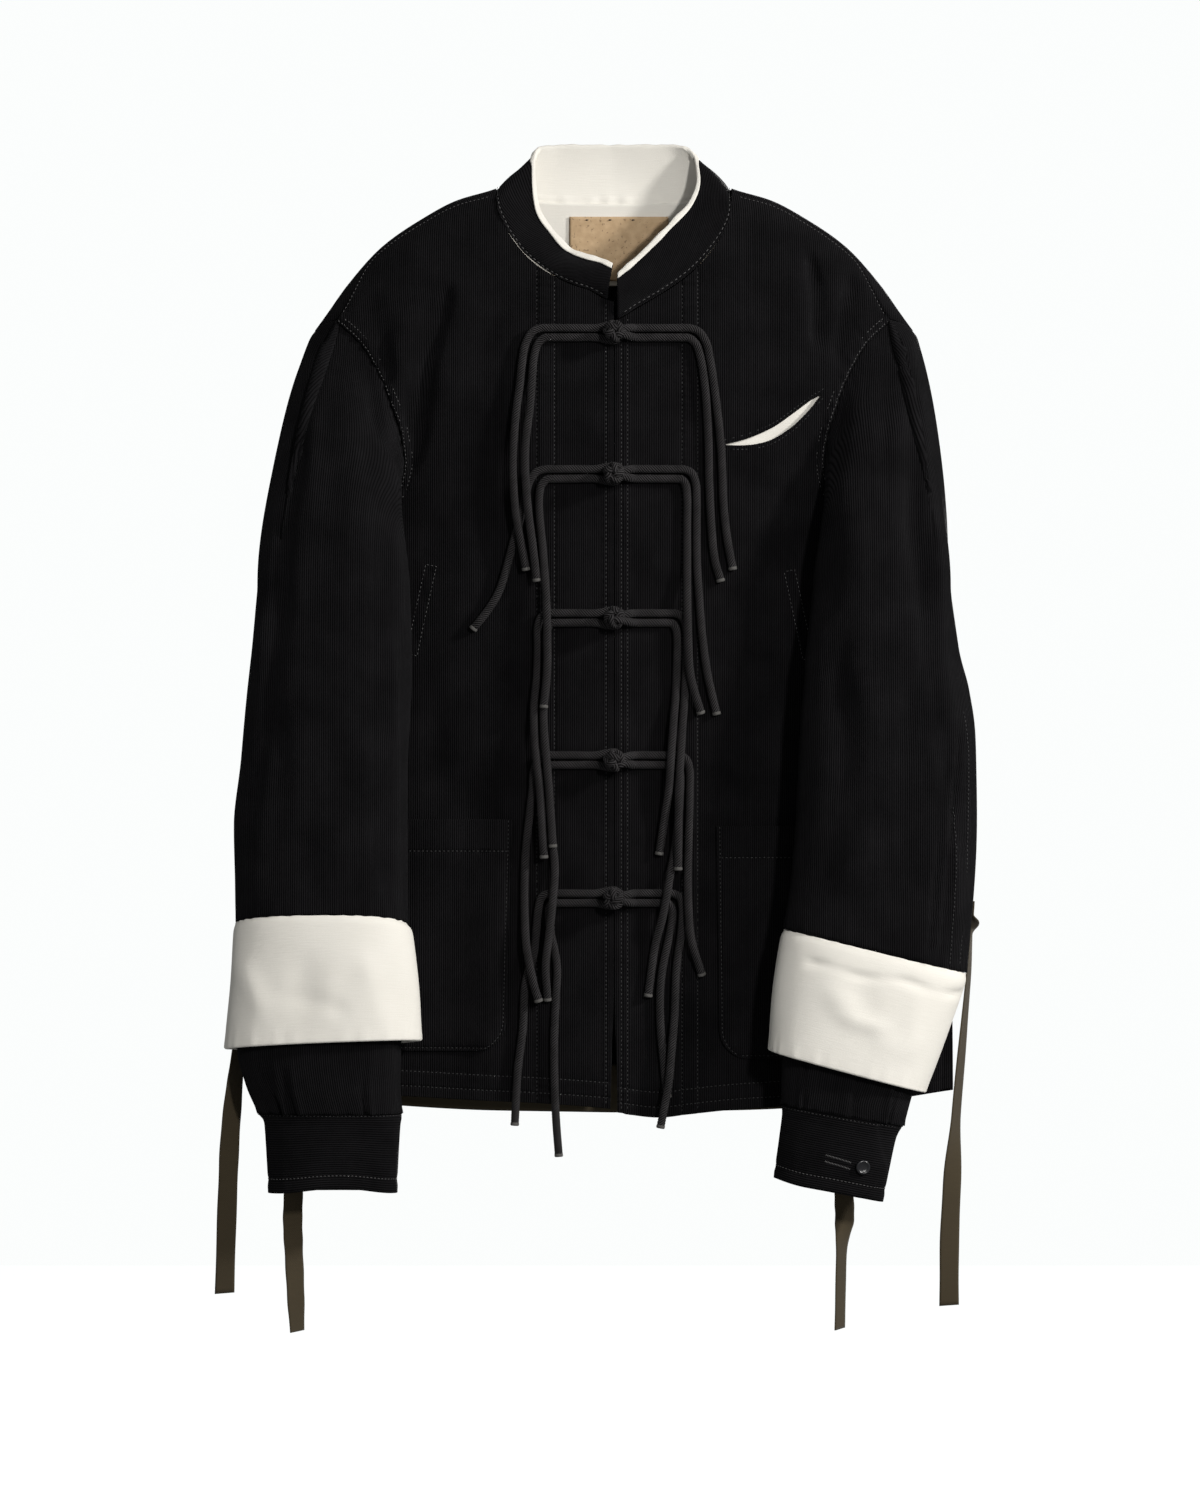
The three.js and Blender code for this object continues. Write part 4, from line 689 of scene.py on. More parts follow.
def cord_tail(name, rows):
    """One tail: a tube along its route with a slightly flared, frayed cut end."""
    path, length = smooth_route(over_front(rows), RIB_STEP)
    tail = dress(tube(f"cord_tail_{name}", path, CORD / 2), ROULEAU, "cord", f"tail_{name}")
    way = unit(path[-1] - path[-2])
    end = path[-1] + way * np.linspace(-1.0, FRAY_LENGTH, 7)[:, None]
    fray = tube(f"fray_{name}", end, CORD / 2 * np.array([1.0, 1.05, 1.1, 1.04, 1.12, 1.03, 0.9]), sides=14,
                ribbed=False)
    dress(fray, FRAY, "cord")
    return length


lengths = {name: cord_tail(name, rows) for name, rows in TAILS.items()}
print("tails, mm:", {name: round(length) for name, length in lengths.items()})

# %% [markdown]
# ## Fronts
#
# The two fronts meet edge to edge under the knots. Each is one piece of corduroy from the neck to the hem.
# Its grid follows the armhole at one side and the straight front edge at the other. Seams, hems and welts
# are pressed into it as shallow troughs, and the rows of stitches lie in them.

# %% Shared edges
SEAM_FORWARD, SEAM_DROP, SEAM_TURNS_AT = 3, 16, 185
FRONT_EDGE, HEM_SPREAD, SPREAD_FROM, SPREAD_TO = 0.4, 2.4, -610, -705
HEM_CENTRE_Z = -698


def seam_drop(x):
    """How far the shoulder seam lies below the ridge, on the front."""
    return SEAM_FORWARD + SEAM_DROP * smooth(SEAM_TURNS_AT, SEAM_X, x)


CORNER_Z = float(ridge(SEAM_X) - seam_drop(SEAM_X)) - SEAM
ARMHOLE_FRONT = [(SEAM_X, CORNER_Z, -60), (212.5, -93, -66), (207, -98, -76), (195, -110, -92), (182, -132, -116),
                 (171.5, -157, -142), (165, -178, -168), (162, -200, -196), (166, -221, -228), (182, -237, -252),
                 (205, -245.5, -272), (228.2, -250.3, -292)]
ARMHOLE_BACK = [(232, -98, 0), (232, -101, 0), (230.5, -108, 0), (226, -122, 0), (219, -140, 0), (211.5, -165, 0),
                (207.5, -190, 0), (207, -212, 0), (211, -230, 0), (219, -242, 0), (228.2, -250.3, 0)]
SIDE_ROWS = [(-270, -314), (-300, -342), (-350, -386), (-420, -446), (-495, -514), (-570, -582), (-640, -648)]
UNDERARM_ROW = len(ARMHOLE_FRONT) - 1


def edge_rows(armhole, hem):
    """The outer edge of a body panel row by row (x, z, height near the centre), down to the hem."""
    side = SIDE_ROWS + [(float(hem(half_width(SIDE_HEM_Z))), HEM_CENTRE_Z)]
    return armhole + [(float(half_width(z)), z, centre) for z, centre in side]


def numbered(rows, *columns):
    """One smooth curve for each column of a table, read by row number."""
    return [curve([(k, row[i]) for k, row in enumerate(rows)]) for i in columns]


def follow(x, edge):
    """How much of the edge's shift a place across the panel takes: none near the centre."""
    return (np.maximum(0, x - STRAIGHT_TO) / (edge - STRAIGHT_TO)) ** 1.5


def spaced(low, high, step, places=(), fine=1.0, reach=3.0):
    """Places from low to high, a step apart, and finer near the given places."""
    dense = np.linspace(low, high, 6000)
    gap = np.full(dense.shape, float(step))
    for place in places:
        gap = np.minimum(gap, mix(fine, step, smooth(reach, 3 * reach, np.abs(dense - place))))
    count = np.concatenate([[0], np.cumsum((dense[1] - dense[0]) / gap[1:])])
    return np.interp(np.linspace(0, count[-1], math.ceil(count[-1]) + 1), count, dense)


def cloth_across(x, z, side):
    """Length of cloth from the middle of the body out to x at height z."""
    xs = np.asarray(x, float)[..., None] * np.linspace(0, 1, 28)
    ys = body_y(xs, np.asarray(z, float)[..., None], side)
    return np.sign(x) * np.hypot(np.diff(xs), np.diff(ys)).sum(axis=-1)


# %% Relief of the fronts
BANDS = {-1: (-59.5, -46), 1: (52.5, 64.5)}
EDGE_STITCH = {-1: (-6.2,), 1: (5.6, 10.4)}
HEM_STITCH = (8, 19.5)
EDGE_FOLD = {-1: 8.5, 1: 12.5}
WELTS = {-1: (-141.7, -284, -155.5, -347), 1: (136, -288, 149.5, -350)}
SLIT = [(86, -188, 0.4), (100, -186.3, 2.2), (119.5, -180.6, 4.3), (137.5, -169.3, 4.8), (152, -156.8, 3.1),
        (159.5, -150, 0.4)]
slit_z, slit_half = (curve([(row[0], row[i]) for row in SLIT]) for i in (1, 2))
SLIT_ENDS = (SLIT[0][0], SLIT[-1][0])
CREASES = {
    -1: [(-128, -60, -158, -215, -1.6, 5), (-168, -96, -166, -205, 1.2, 6), (-186, -70, -172, -150, -1.0, 6),
         (-150, -330, -128, -470, -0.9, 10), (-98, -170, -118, -330, 0.7, 12), (-190, -300, -176, -430, -1.1, 12),
         (-84, -60, -108, -150, -0.8, 8), (-90, -520, -96, -690, 0.9, 14), (-30, -120, -22, -190, 0.5, 9),
         (-24, -240, -34, -300, -0.5, 9), (-20, -355, -36, -410, 0.5, 9), (-34, -465, -20, -520, -0.5, 9)],
    1: [(150, -34, 160, -118, -1.3, 5), (186, -52, 170, -128, -1.2, 5), (168, -110, 166, -190, 1.0, 6),
        (110, -60, 128, -150, -0.8, 9), (128, -200, 150, -270, -0.9, 8), (118, -330, 140, -460, -0.9, 11),
        (84, -300, 92, -420, 0.7, 11), (170, -380, 176, -470, -1.2, 12), (86, -560, 92, -690, 0.9, 14),
        (20, -130, 32, -190, -0.5, 9), (34, -245, 24, -300, 0.5, 9), (22, -450, 36, -520, -0.5, 9)],
}


def groove(distance, width=1.1):
    """A trough of depth 1 across a line."""
    return np.exp(-((distance / width) ** 2))


def pucker(along, distance, seed=0.0, size=2.9):
    """Small uneven ripples along a seam, dying away from it."""
    wave = np.sin(along / size + 1.7 * np.sin(along / 17 + seed)) + 0.6 * np.sin(along / (0.66 * size) + seed)
    return wave * np.exp(-((distance / 5) ** 2))


def soft_cloth(x, z, seed):
    """The slow swell of cloth that hangs free."""
    return (np.sin(x / 27 + 1.1 * np.sin(z / 61 + seed)) * np.sin(z / 83 + seed + 0.7 * np.sin(x / 41))
            + 0.5 * np.sin(x / 13 + z / 47 + 2 * seed) * np.sin(z / 39 - seed))


def welt_place(line, x, z):
    """Distances along and across a slanted welt, and its length."""
    x0, z0, x1, z1 = line
    long = math.hypot(x1 - x0, z1 - z0)
    along = ((x - x0) * (x1 - x0) + (z - z0) * (z1 - z0)) / long
    across = ((x - x0) * (z1 - z0) - (z - z0) * (x1 - x0)) / long
    return along, across, long


def armhole_place(inside, z):
    """Distance from the armhole edge of a front, and the run along that edge, by its nearest of many points."""
    edge_x, edge_z = numbered(ARMHOLE_FRONT, 0, 1)
    k = np.linspace(0, UNDERARM_ROW, 150)
    line = np.stack([edge_x(k), edge_z(k)], -1)
    run = np.concatenate([[0], np.cumsum(np.linalg.norm(np.diff(line, axis=0), axis=1))])
    near = (np.asarray(inside) > 135) & (np.asarray(z) > -275)
    away, along = np.full(np.shape(inside), 99.0), np.zeros(np.shape(inside))
    if np.any(near):
        gaps = np.stack(np.broadcast_arrays(inside, z), -1)[near][:, None] - line[None]
        gap = np.linalg.norm(gaps, axis=-1)
        nearest = gap.argmin(axis=1)
        slope = unit(np.gradient(line, axis=0))[nearest]
        away[near] = gap.min(axis=1)
        along[near] = run[nearest] + np.sum(gaps[np.arange(len(nearest)), nearest] * slope, axis=-1)
    return away, along


def front_relief(sign, x, z):
    """Height of the small forms of a front over the skin of the body, in mm."""
    x, z = np.broadcast_arrays(np.asarray(x, float), np.asarray(z, float))
    inside = np.abs(x)
    up = z - HEM[sign](inside)
    height = 0.75 * (1 - smooth(EDGE_FOLD[sign] - 1, EDGE_FOLD[sign] + 0.4, inside))
    for place in EDGE_STITCH[sign]:
        height = height - 0.8 * groove(x - place, 0.9) + 0.2 * pucker(z, x - place, place, 1.5)
    low, high = BANDS[sign]
    band = smooth(low - 0.6, low + 0.6, x) * (1 - smooth(high - 0.6, high + 0.6, x))
    ladder = np.sin(z / 0.92 + 1.3 * np.sin(z / 13 + sign) + 0.1 * x) * (0.75 + 0.25 * np.sin(z / 31 + sign))
    height = height + band * (0.5 + 0.55 * ladder)
    for place in BANDS[sign]:
        height = height - 1.05 * groove(x - place) + 0.22 * pucker(z, x - place, place, 1.5)
    for place in HEM_STITCH:
        height = height - 0.95 * groove(up - place) + 0.26 * pucker(x, up - place, place)
    height = height + 0.6 * (1 - smooth(HEM_STITCH[1] - 0.8, HEM_STITCH[1] + 0.6, up))
    away, run = armhole_place(inside, z)
    roll = 1 - smooth(4.6, 6.0, away)
    height = height + 0.55 * roll + (0.3 + 0.5 * roll) * pucker(run, away - 3, 0.2 * sign, 1.7)
    height = height - 0.7 * groove(away - 5.6, 0.9)
    along, across, long = welt_place(WELTS[sign], x, z)
    near = smooth(-2, 1, along) * (1 - smooth(long - 1, long + 2, along))
    height = height + near * (0.9 * groove(np.abs(across) - 2.2, 1.6) - 1.3 * groove(across, 0.9))
    if sign > 0:
        lip = np.abs(z - slit_z(x)) - np.maximum(slit_half(x), 0)
        start, end = SLIT_ENDS
        inside_ends = smooth(start - 4, start + 4, x) * (1 - smooth(end - 4, end + 4, x))
        height = height + inside_ends * (0.7 * groove(lip - 0.8, 1.6) - 0.5 * groove(lip - 3.4, 0.8))
    loose = smooth(70, 110, inside)
    height = height + 0.85 * mix(0.45, 1.5, loose) * soft_cloth(x, z, 0.9 * sign)
    height = height + 2.3 * lines_height(CREASES[sign], x, z, wobble=0.35)
    calm = smooth(0, 9, ridge(inside) - z) * smooth(1, 0.95, inside / half_width(z))
    return height * calm


def front_skin(sign, x, z, out=0.0):
    """A point on a front as it is sewn and worn, moved out by some millimetres."""
    return skin(x, z, "front", front_relief(sign, x, z) + out)


def front_place(sign):
    """Across and height on a front, by shares of its width and of its rows."""
    rows = edge_rows(ARMHOLE_FRONT, HEM[sign])
    edge_x, edge_z, centre_z = numbered(rows, 0, 1, 2)
    last = len(rows) - 1
    underarm_z, end_z = float(centre_z(UNDERARM_ROW)), float(centre_z(last))

    def at(u, v):
        top, k = SEAM_X * u, v * last
        share = follow(top, SEAM_X)
        x = top + (edge_x(k) - SEAM_X) * share
        start = np.where(top < NECK_X, NECK_FRONT[sign](top), ridge(top) - seam_drop(top) - SEAM)
        first = mix(centre_z(0), edge_z(0), share)
        final = mix(centre_z(last), edge_z(last), share)
        upper = np.clip((centre_z(0) - centre_z(k)) / (centre_z(0) - underarm_z), 0, 1)
        lower = np.clip((underarm_z - centre_z(k)) / (underarm_z - end_z), 0, 1)
        z = (mix(centre_z(k), edge_z(k), share) + (start - first) * (1 - upper)
             + (HEM[sign](top + (edge_x(last) - SEAM_X) * share) - final) * lower)
        spread = FRONT_EDGE + HEM_SPREAD * smooth(SPREAD_FROM, SPREAD_TO, z)
        return sign * (x + spread * (1 - smooth(0, 18, x))), z
    return at, last


print("relief of the fronts at a seam:", np.round(float(front_relief(1, 52.5, -300.0)), 2), "mm")

# %% The two fronts
def make_front(sign, name):
    """One front: its grid is finer along the bands, the hem and the slit."""
    place, last = front_place(sign)
    fine = [abs(x) for x in BANDS[sign]] + [0.0, EDGE_FOLD[sign]] + [abs(x) for x in EDGE_STITCH[sign]]
    top = spaced(0, SEAM_X, 3.6, fine, 0.9, 2.2)
    k = np.concatenate([np.linspace(0, UNDERARM_ROW, 108, endpoint=False),
                        np.linspace(UNDERARM_ROW, last - 0.42, 150, endpoint=False),
                        np.linspace(last - 0.42, last, 26)])
    if sign > 0:
        start = SLIT_ENDS[0] - 4
        top = np.concatenate([top[top < start], np.linspace(start, 168, 46), top[top > 168.5]])
        k = np.concatenate([k[k < 1.95], np.linspace(2, 8, 96), k[k > 8.05]])
    top = np.sort(np.concatenate([top, [90.9, 91.3]]))
    x, z = place(*np.meshgrid(top / SEAM_X, k / last))
    points = front_skin(sign, x, z)
    uv = np.stack([cloth_across(x, z, "front"), z], -1) * MM
    return thicken(cloth_mesh(f"{name}_cloth", points, uv, facing=-sign), CLOTH - 0.1), points


def cut_slit(front):
    """Cuts the curved slit with a Boolean: a prism between the slit's lower and upper edges."""
    x = np.linspace(*SLIT_ENDS, 41)
    half = slit_half(x)
    x = np.concatenate([x, x[::-1]])
    z = np.concatenate([slit_z(x[:41]) - half, (slit_z(x[:41]) + half)[::-1]])
    near, far = xyz(x, -75.0, z), xyz(x, -12.0, z)
    count = len(x)
    ring = range(count)
    sides = [(i, i + count, (i + 1) % count + count, (i + 1) % count) for i in ring]
    mesh = bpy.data.meshes.new("slit_cutter")
    ends = [list(ring), list(range(count, 2 * count))[::-1]]
    mesh.from_pydata((np.vstack([near, far]) * MM).tolist(), [], ends + sides)
    cutter = bpy.data.objects.new("slit_cutter", mesh)
    bpy.context.collection.objects.link(cutter)
    cut = front.modifiers.new("slit", "BOOLEAN")
    cut.operation, cut.solver, cut.object = "DIFFERENCE", "EXACT", cutter
    evaluated = front.evaluated_get(bpy.context.evaluated_depsgraph_get())
    front.data = bpy.data.meshes.new_from_object(evaluated)
    front.modifiers.clear()
    bpy.data.objects.remove(cutter)


front_left, left_points = make_front(-1, "front_left")
front_right, right_points = make_front(1, "front_right")
cut_slit(front_right)
for front, name, points in ((front_left, "front_left", left_points), (front_right, "front_right", right_points)):
    dress(front, CORDUROY, "corduroy", name)
    print(name, len(front.data.polygons), "faces,", round(grid_area(points), 4), "m2")

# %% [markdown]
# ## Back
#
# The back is one piece too. It comes over the ridge of the shoulders and meets the fronts a little way
# down, so the shoulder seam shows from the front as a fine light line.

# %% The back
OVER_ROWS = 2
BACK_CREASES = [(-60, -90, -90, -230, -1.0, 10), (70, -100, 96, -260, -1.0, 10), (-200, -250, -168, -420, -1.4, 12),
                (198, -260, 160, -430, -1.3, 12), (-30, -420, -44, -690, 1.0, 16), (150, -440, 160, -700, -1.0, 18),
                (-150, -460, -164, -700, 0.9, 14), (10, -330, 30, -560, 0.8, 18)]


def back_relief(x, z):
    """Height of the small forms of the back over the skin of the body."""
    inside = np.abs(x)
    up = z - hem_back(inside)
    height = 0.5 * (1 - smooth(HEM_STITCH[1] - 0.8, HEM_STITCH[1] + 0.6, up))
    for place in HEM_STITCH:
        height = height - 0.6 * groove(up - place) + 0.16 * pucker(x, up - place, place)
    height = height + 1.0 * soft_cloth(x, z, 2.4) + 2.0 * lines_height(BACK_CREASES, x, z, wobble=0.35)
    calm = smooth(0, 10, np.where(inside < NECK_X, neck_back(inside), ridge(inside)) - z)
    return height * calm * smooth(1, 0.95, inside / half_width(z))


def back_place():
    """Across, height and side (front of the ridge or behind it) of the back, by shares."""
    rows = edge_rows(ARMHOLE_BACK, hem_back)
    edge_z, = numbered(rows, 1)
    edge_x, = numbered([(SEAM_X,), (OVER_X,)] + [(row[0],) for row in rows], 0)
    last = len(rows) + OVER_ROWS - 1
    low, high = float(edge_z(len(rows) - 1)), float(edge_z(0))

    def at(u, v):
        sign = np.where(u < 0, -1, 1)
        top, k = SEAM_X * np.abs(u), v * last
        x = top + (edge_x(k) - SEAM_X) * follow(top, SEAM_X)
        neck = top < NECK_X
        over = k < OVER_ROWS
        left = np.clip(1 - k / OVER_ROWS, 0, 1) ** 2
        wrapped = np.where(neck, neck_back(x) - k, ridge(x) - seam_drop(x) * left)
        start = np.where(neck, neck_back(x) - OVER_ROWS, ridge(top + (TIP_X - SEAM_X) * follow(top, SEAM_X)))
        fall = (edge_z(np.maximum(k - OVER_ROWS, 0)) - high) / (low - high)
        hem_x = top + (edge_x(last) - SEAM_X) * follow(top, SEAM_X)
        z = np.where(over, wrapped, mix(start, hem_back(hem_x), fall))
        return sign * x, z, over & ~neck
    return at, last


def back_skin(x, z, in_front=False, out=0.0):
    """A point on the back as it is sewn and worn."""
    relief = back_relief(x, z) + out
    behind = skin(x, z, "back", relief)
    if not np.any(in_front):
        return behind
    return np.where(np.asarray(in_front)[..., None], skin(x, z, "front", out), behind)


place, last = back_place()
half = spaced(0, SEAM_X, 4.7)
half = np.sort(np.concatenate([half[1:], [90.9, 91.3]]))
across = np.concatenate([-half[::-1], [0], half]) / SEAM_X
down = np.concatenate([np.linspace(0, OVER_ROWS, 9, endpoint=False), np.linspace(OVER_ROWS, 12, 50, endpoint=False),
                       np.linspace(12, last - 0.42, 78, endpoint=False), np.linspace(last - 0.42, last, 22)])
back_x, back_z, back_over = place(*np.meshgrid(across, down / last))
back_points = back_skin(back_x, back_z, back_over)
back_uv = np.stack([cloth_across(back_x, back_z, "back"), back_z], -1) * MM
back_panel = thicken(cloth_mesh("back_panel_cloth", back_points, back_uv, facing=1), CLOTH - 0.1)
dress(back_panel, CORDUROY, "corduroy", "back_panel")
print("back:", len(back_panel.data.polygons), "faces,", round(grid_area(back_points), 4), "m2")

# %% [markdown]
# ## Sleeves
#
# Each arm is a stack of rings: centre, half width, half depth and tilt at a few heights. The section is a
# slightly squared ellipse. From the armhole seam to the first ring the cloth runs along a cubic Bezier
# curve, which leaves the seam along the body's cloth and lands upright. The wales start at the underarm
# seam, go round the arm and meet there again.

# %% Arm rings
SQUARENESS = 0.86
LEFT_SLEEVE = [(-300, 215, -52, 58, 31, 0, 0), (-340, 217, -55, 60.5, 32, 0, 0), (-380, 219, -57, 63, 33, 0, 0),
               (-430, 222.5, -58, 64.5, 33, 0, 0), (-480, 226, -59, 67, 33, 0, 0), (-525, 225, -60, 66, 33, 0, 3),
               (-556, 224.5, -60, 65.5, 33, 0, 7)]
RIGHT_SLEEVE = [(-300, 206, -52, 53, 31, 0, 0), (-345, 206, -57, 58, 32, 0, 0), (-378, 209, -59, 63, 33, 0, 0),
                (-411, 210, -61, 67, 33, 0, 0), (-470, 208, -63, 69, 33, 1, 0), (-530, 205, -64, 69.5, 33, 6, 0),
                (-577, 200, -65, 71.5, 33, 13.7, 0)]
LEFT_TURN_UP = [(-556.5, 224.5, -60, 65.5, 33, 0, 7), (-562, 223.2, -60, 68.5, 35, 0, 7),
                (-600, 222.5, -61, 72, 36, 2, 6), (-648, 223.5, -61, 75.5, 36, 2.4, 3)]
RIGHT_TURN_UP = [(-577.5, 199.9, -65, 71.5, 33, 13.7, 0), (-585, 198, -66, 73, 34, 14, 0),
                 (-622, 188.5, -67, 69, 35, 14.5, 0), (-668, 178, -67, 62.5, 35, 15, 0)]
LEFT_LOWER = [(-546, 224.6, -60, 63, 30.5, 0, 6), (-580, 224, -60, 62, 30, 0, 3), (-650, 226, -59, 63, 29, 0, 0),
              (-678, 223.5, -58, 59.5, 28.5, 0, 0), (-702, 218, -57, 55, 28, 0, 0)]
RIGHT_LOWER = [(-566, 201.4, -65, 66.5, 29.5, 12, 0), (-600, 196, -65, 64, 30, 13, 0),
               (-650, 184, -64, 54, 29, 12.5, 0),
               (-680, 178.5, -63, 50, 28.5, 11, 0), (-703, 175, -62, 47.5, 28, 10, 0)]
LEFT_BAND = [(-702.5, 218, -57, 55, 28, 0, 0), (-709, 216, -56.5, 52.5, 27, 0, 0), (-763, 216, -56, 49.5, 26, 0, 0)]
RIGHT_BAND = [(-703.5, 174.9, -62, 47.5, 28, 10, 0), (-711, 173, -61.5, 45, 27, 11, 0),
              (-760, 164.5, -61, 42.5, 26, 13, 0)]


def arm_tube(sign, rows):
    """A tube by angle (0 outside, 90 in front, 180 inside, 270 behind) and share of its length."""
    z, x, y, half, deep, tilt, rise = numbered(rows, *range(7))
    last = len(rows) - 1

    def at(angle, v):
        a, k = np.radians(angle), v * last
        c, s = np.cos(a), np.sin(a)
        across = half(k) * np.sign(c) * np.abs(c) ** SQUARENESS
        depth = deep(k) * np.sign(s) * np.abs(s) ** SQUARENESS
        lean = np.radians(tilt(k))
        return xyz(sign * (x(k) + across * np.cos(lean)), y(k) - depth, z(k) - across * np.sin(lean) + rise(k) * s)
    return at


def raised(surface, relief, sign):
    """The same surface moved along its outward normal by relief(point, normal, angle, v)."""
    def at(angle, v, out=0.0):
        angle, v = np.broadcast_arrays(np.asarray(angle, float), np.asarray(v, float))
        point = surface(angle, v)
        normal = normal_of(surface, angle, v, 0.5, 0.004) * sign
        return point + normal * (relief(point, normal, angle, v) + out)[..., None]
    return at


# %% From the armhole to the arm
SLEEVE_SEAM = ([(0, TIP_X, float(ridge(TIP_X))), (20, OVER_X, float(ridge(OVER_X) - seam_drop(SEAM_X) / 4)),
                (42, SEAM_X, CORNER_Z)]
               + [(angle, row[0], row[1]) for angle, row in
                  zip((50, 62, 80, 102, 127, 148, 168, 190, 210, 232, 250), ARMHOLE_FRONT[1:])]
               + [(angle, row[0], row[1]) for angle, row in
                  zip((268, 282, 297, 312, 326, 338, 347, 354, 358), ARMHOLE_BACK[-2::-1])]
               + [(360, TIP_X, -98)])
UNDERARM = 250
seam_x, seam_z = (curve([(row[0], row[i]) for row in SLEEVE_SEAM]) for i in (1, 2))
LEAVES = [(0, 14, 0, 0), (42, 20, 4, 4), (78, 24, 9, 10), (100, 22, 14, 18), (125, 10, 18, 32), (148, 4, 18, 38),
          (168, 4, 18, 32), (190, 8, 22, 10), (210, 14, 26, 0), (232, 20, 27, 0), (250, 22, 26, 0), (268, 24, 10, 0),
          (297, 26, 0, 0), (338, 16, 0, 0), (360, 14, 0, 0)]
leave_on, leave_forward, leave_down = (curve([(row[0], row[i]) for row in LEAVES]) for i in (1, 2, 3))
HEAD_SHARE = 0.42
LANDING = 0.36
SEAM_CLEAR = 0.15
SLEEVE_FOLDS = {-1: [(50, 0.12, 38, 0.98, -4, 11), (95, 0.1, 160, 0.94, 3.5, 16), (330, 0.2, 300, 0.9, -3, 16)],
                1: [(62, 0.15, 50, 0.9, -3.5, 12), (130, 0.1, 105, 0.7, 3.5, 16), (320, 0.2, 290, 0.9, -3, 16)]}


def seam_point(sign, angle):
    """The armhole seam by angle: the fronts' edge down to the underarm, then the back's edge."""
    a = angle % 360
    x, z = sign * seam_x(a), seam_z(a)
    front = (a <= UNDERARM)[..., None]
    return np.where(front, xyz(x, body_y(x, z, "front"), z), xyz(x, body_y(x, z, "back"), z))


def seam_away(sign, angle):
    """The direction across the seam: along the cloth, away from the body."""
    a = angle % 360
    x, z = sign * seam_x(a), seam_z(a) - 0.3
    normal = np.where((a <= UNDERARM)[..., None], body_normal(x, z, "front"), body_normal(x, z, "back"))
    along = seam_point(sign, angle + 0.5) - seam_point(sign, angle - 0.5)
    away = unit(np.cross(along, normal))
    centre = np.array([sign * 205, 0, -170])
    turned = np.sum(away * (centre - seam_point(sign, angle)), axis=-1, keepdims=True) < 0
    return np.where(turned, -away, away)


def sleeve_fold(sign, angle, v):
    """Large soft folds of a sleeve, between two places (angle, share of the length)."""
    total = np.zeros(np.broadcast(angle, v).shape)
    for a0, v0, a1, v1, height, width in SLEEVE_FOLDS[sign]:
        t = (v - v0) / (v1 - v0)
        off = (angle - mix(a0, a1, t) + 180) % 360 - 180
        total = total + np.where((t > 0) & (t < 1), height * np.exp(-((off / width) ** 2)) * smooth(0, 0.25, t)
                                 * smooth(1, 0.75, t), 0)
    return total


def sleeve_form(sign, rings_table):
    """The sleeve: a Bezier from the seam to the first ring, then the rings."""
    rings = arm_tube(sign, rings_table)

    def at(angle, v):
        angle, v = np.broadcast_arrays(np.asarray(angle, float), np.asarray(v, float))
        a = angle % 360
        below = np.clip((v - HEAD_SHARE) / (1 - HEAD_SHARE), 0, 1)
        t = np.clip(v / HEAD_SHARE, 0, 1)[..., None]
        away = seam_away(sign, a)
        start = seam_point(sign, a) + away * SEAM_CLEAR
        end = rings(a, below)
        first = start + away * leave_on(a)[..., None] + xyz(0, -leave_forward(a), -leave_down(a))
        last = end + xyz(0, 0, LANDING * np.linalg.norm(start - end, axis=-1))
        s = 1 - t
        head = start * s**3 + first * 3 * s * s * t + last * 3 * s * t * t + end * t**3
        centre = (rings(a + 180, below) + end) / 2
        out = unit(end - centre)
        return np.where(v[..., None] >= HEAD_SHARE, end, head) + out * sleeve_fold(sign, a, v)[..., None]
    return at


SLEEVE_CREASES = {
    -1: [(-244, -168, -252, -330, -1.2, 8), (-252, -300, -262, -540, -1.3, 9), (-206, -110, -203, -330, 1.4, 12),
         (-203, -300, -180, -520, 1.2, 12), (-222, -130, -236, -260, 0.9, 8), (-176, -250, -190, -420, -1.2, 10),
         (-232, -470, -262, -546, -0.9, 9), (-182, -470, -168, -546, -0.9, 8), (-210, -480, -222, -552, 0.9, 8),
         (-190, -122, -176, -200, -1.1, 5), (-262, -300, -280, -420, 0.9, 8), (-236, -350, -230, -470, 0.7, 9)],
    1: [(226, -130, 232, -330, -1.2, 8), (190, -140, 184, -330, 1.2, 10), (240, -190, 256, -420, 1.0, 9),
        (206, -120, 212, -240, -0.9, 7), (180, -300, 168, -470, -1.2, 9), (196, -350, 182, -545, 1.2, 11),
        (222, -360, 226, -545, -1.1, 10), (246, -420, 262, -560, 1.0, 7), (172, -470, 150, -540, -0.9, 8),
        (176, -118, 172, -190, -1.0, 5), (206, -470, 214, -555, -0.8, 7), (262, -330, 268, -430, -0.9, 8)],
}
FELLED = {-1: (), 1: ((264, -410, 249, -575), (248, -490, 240, -575))}


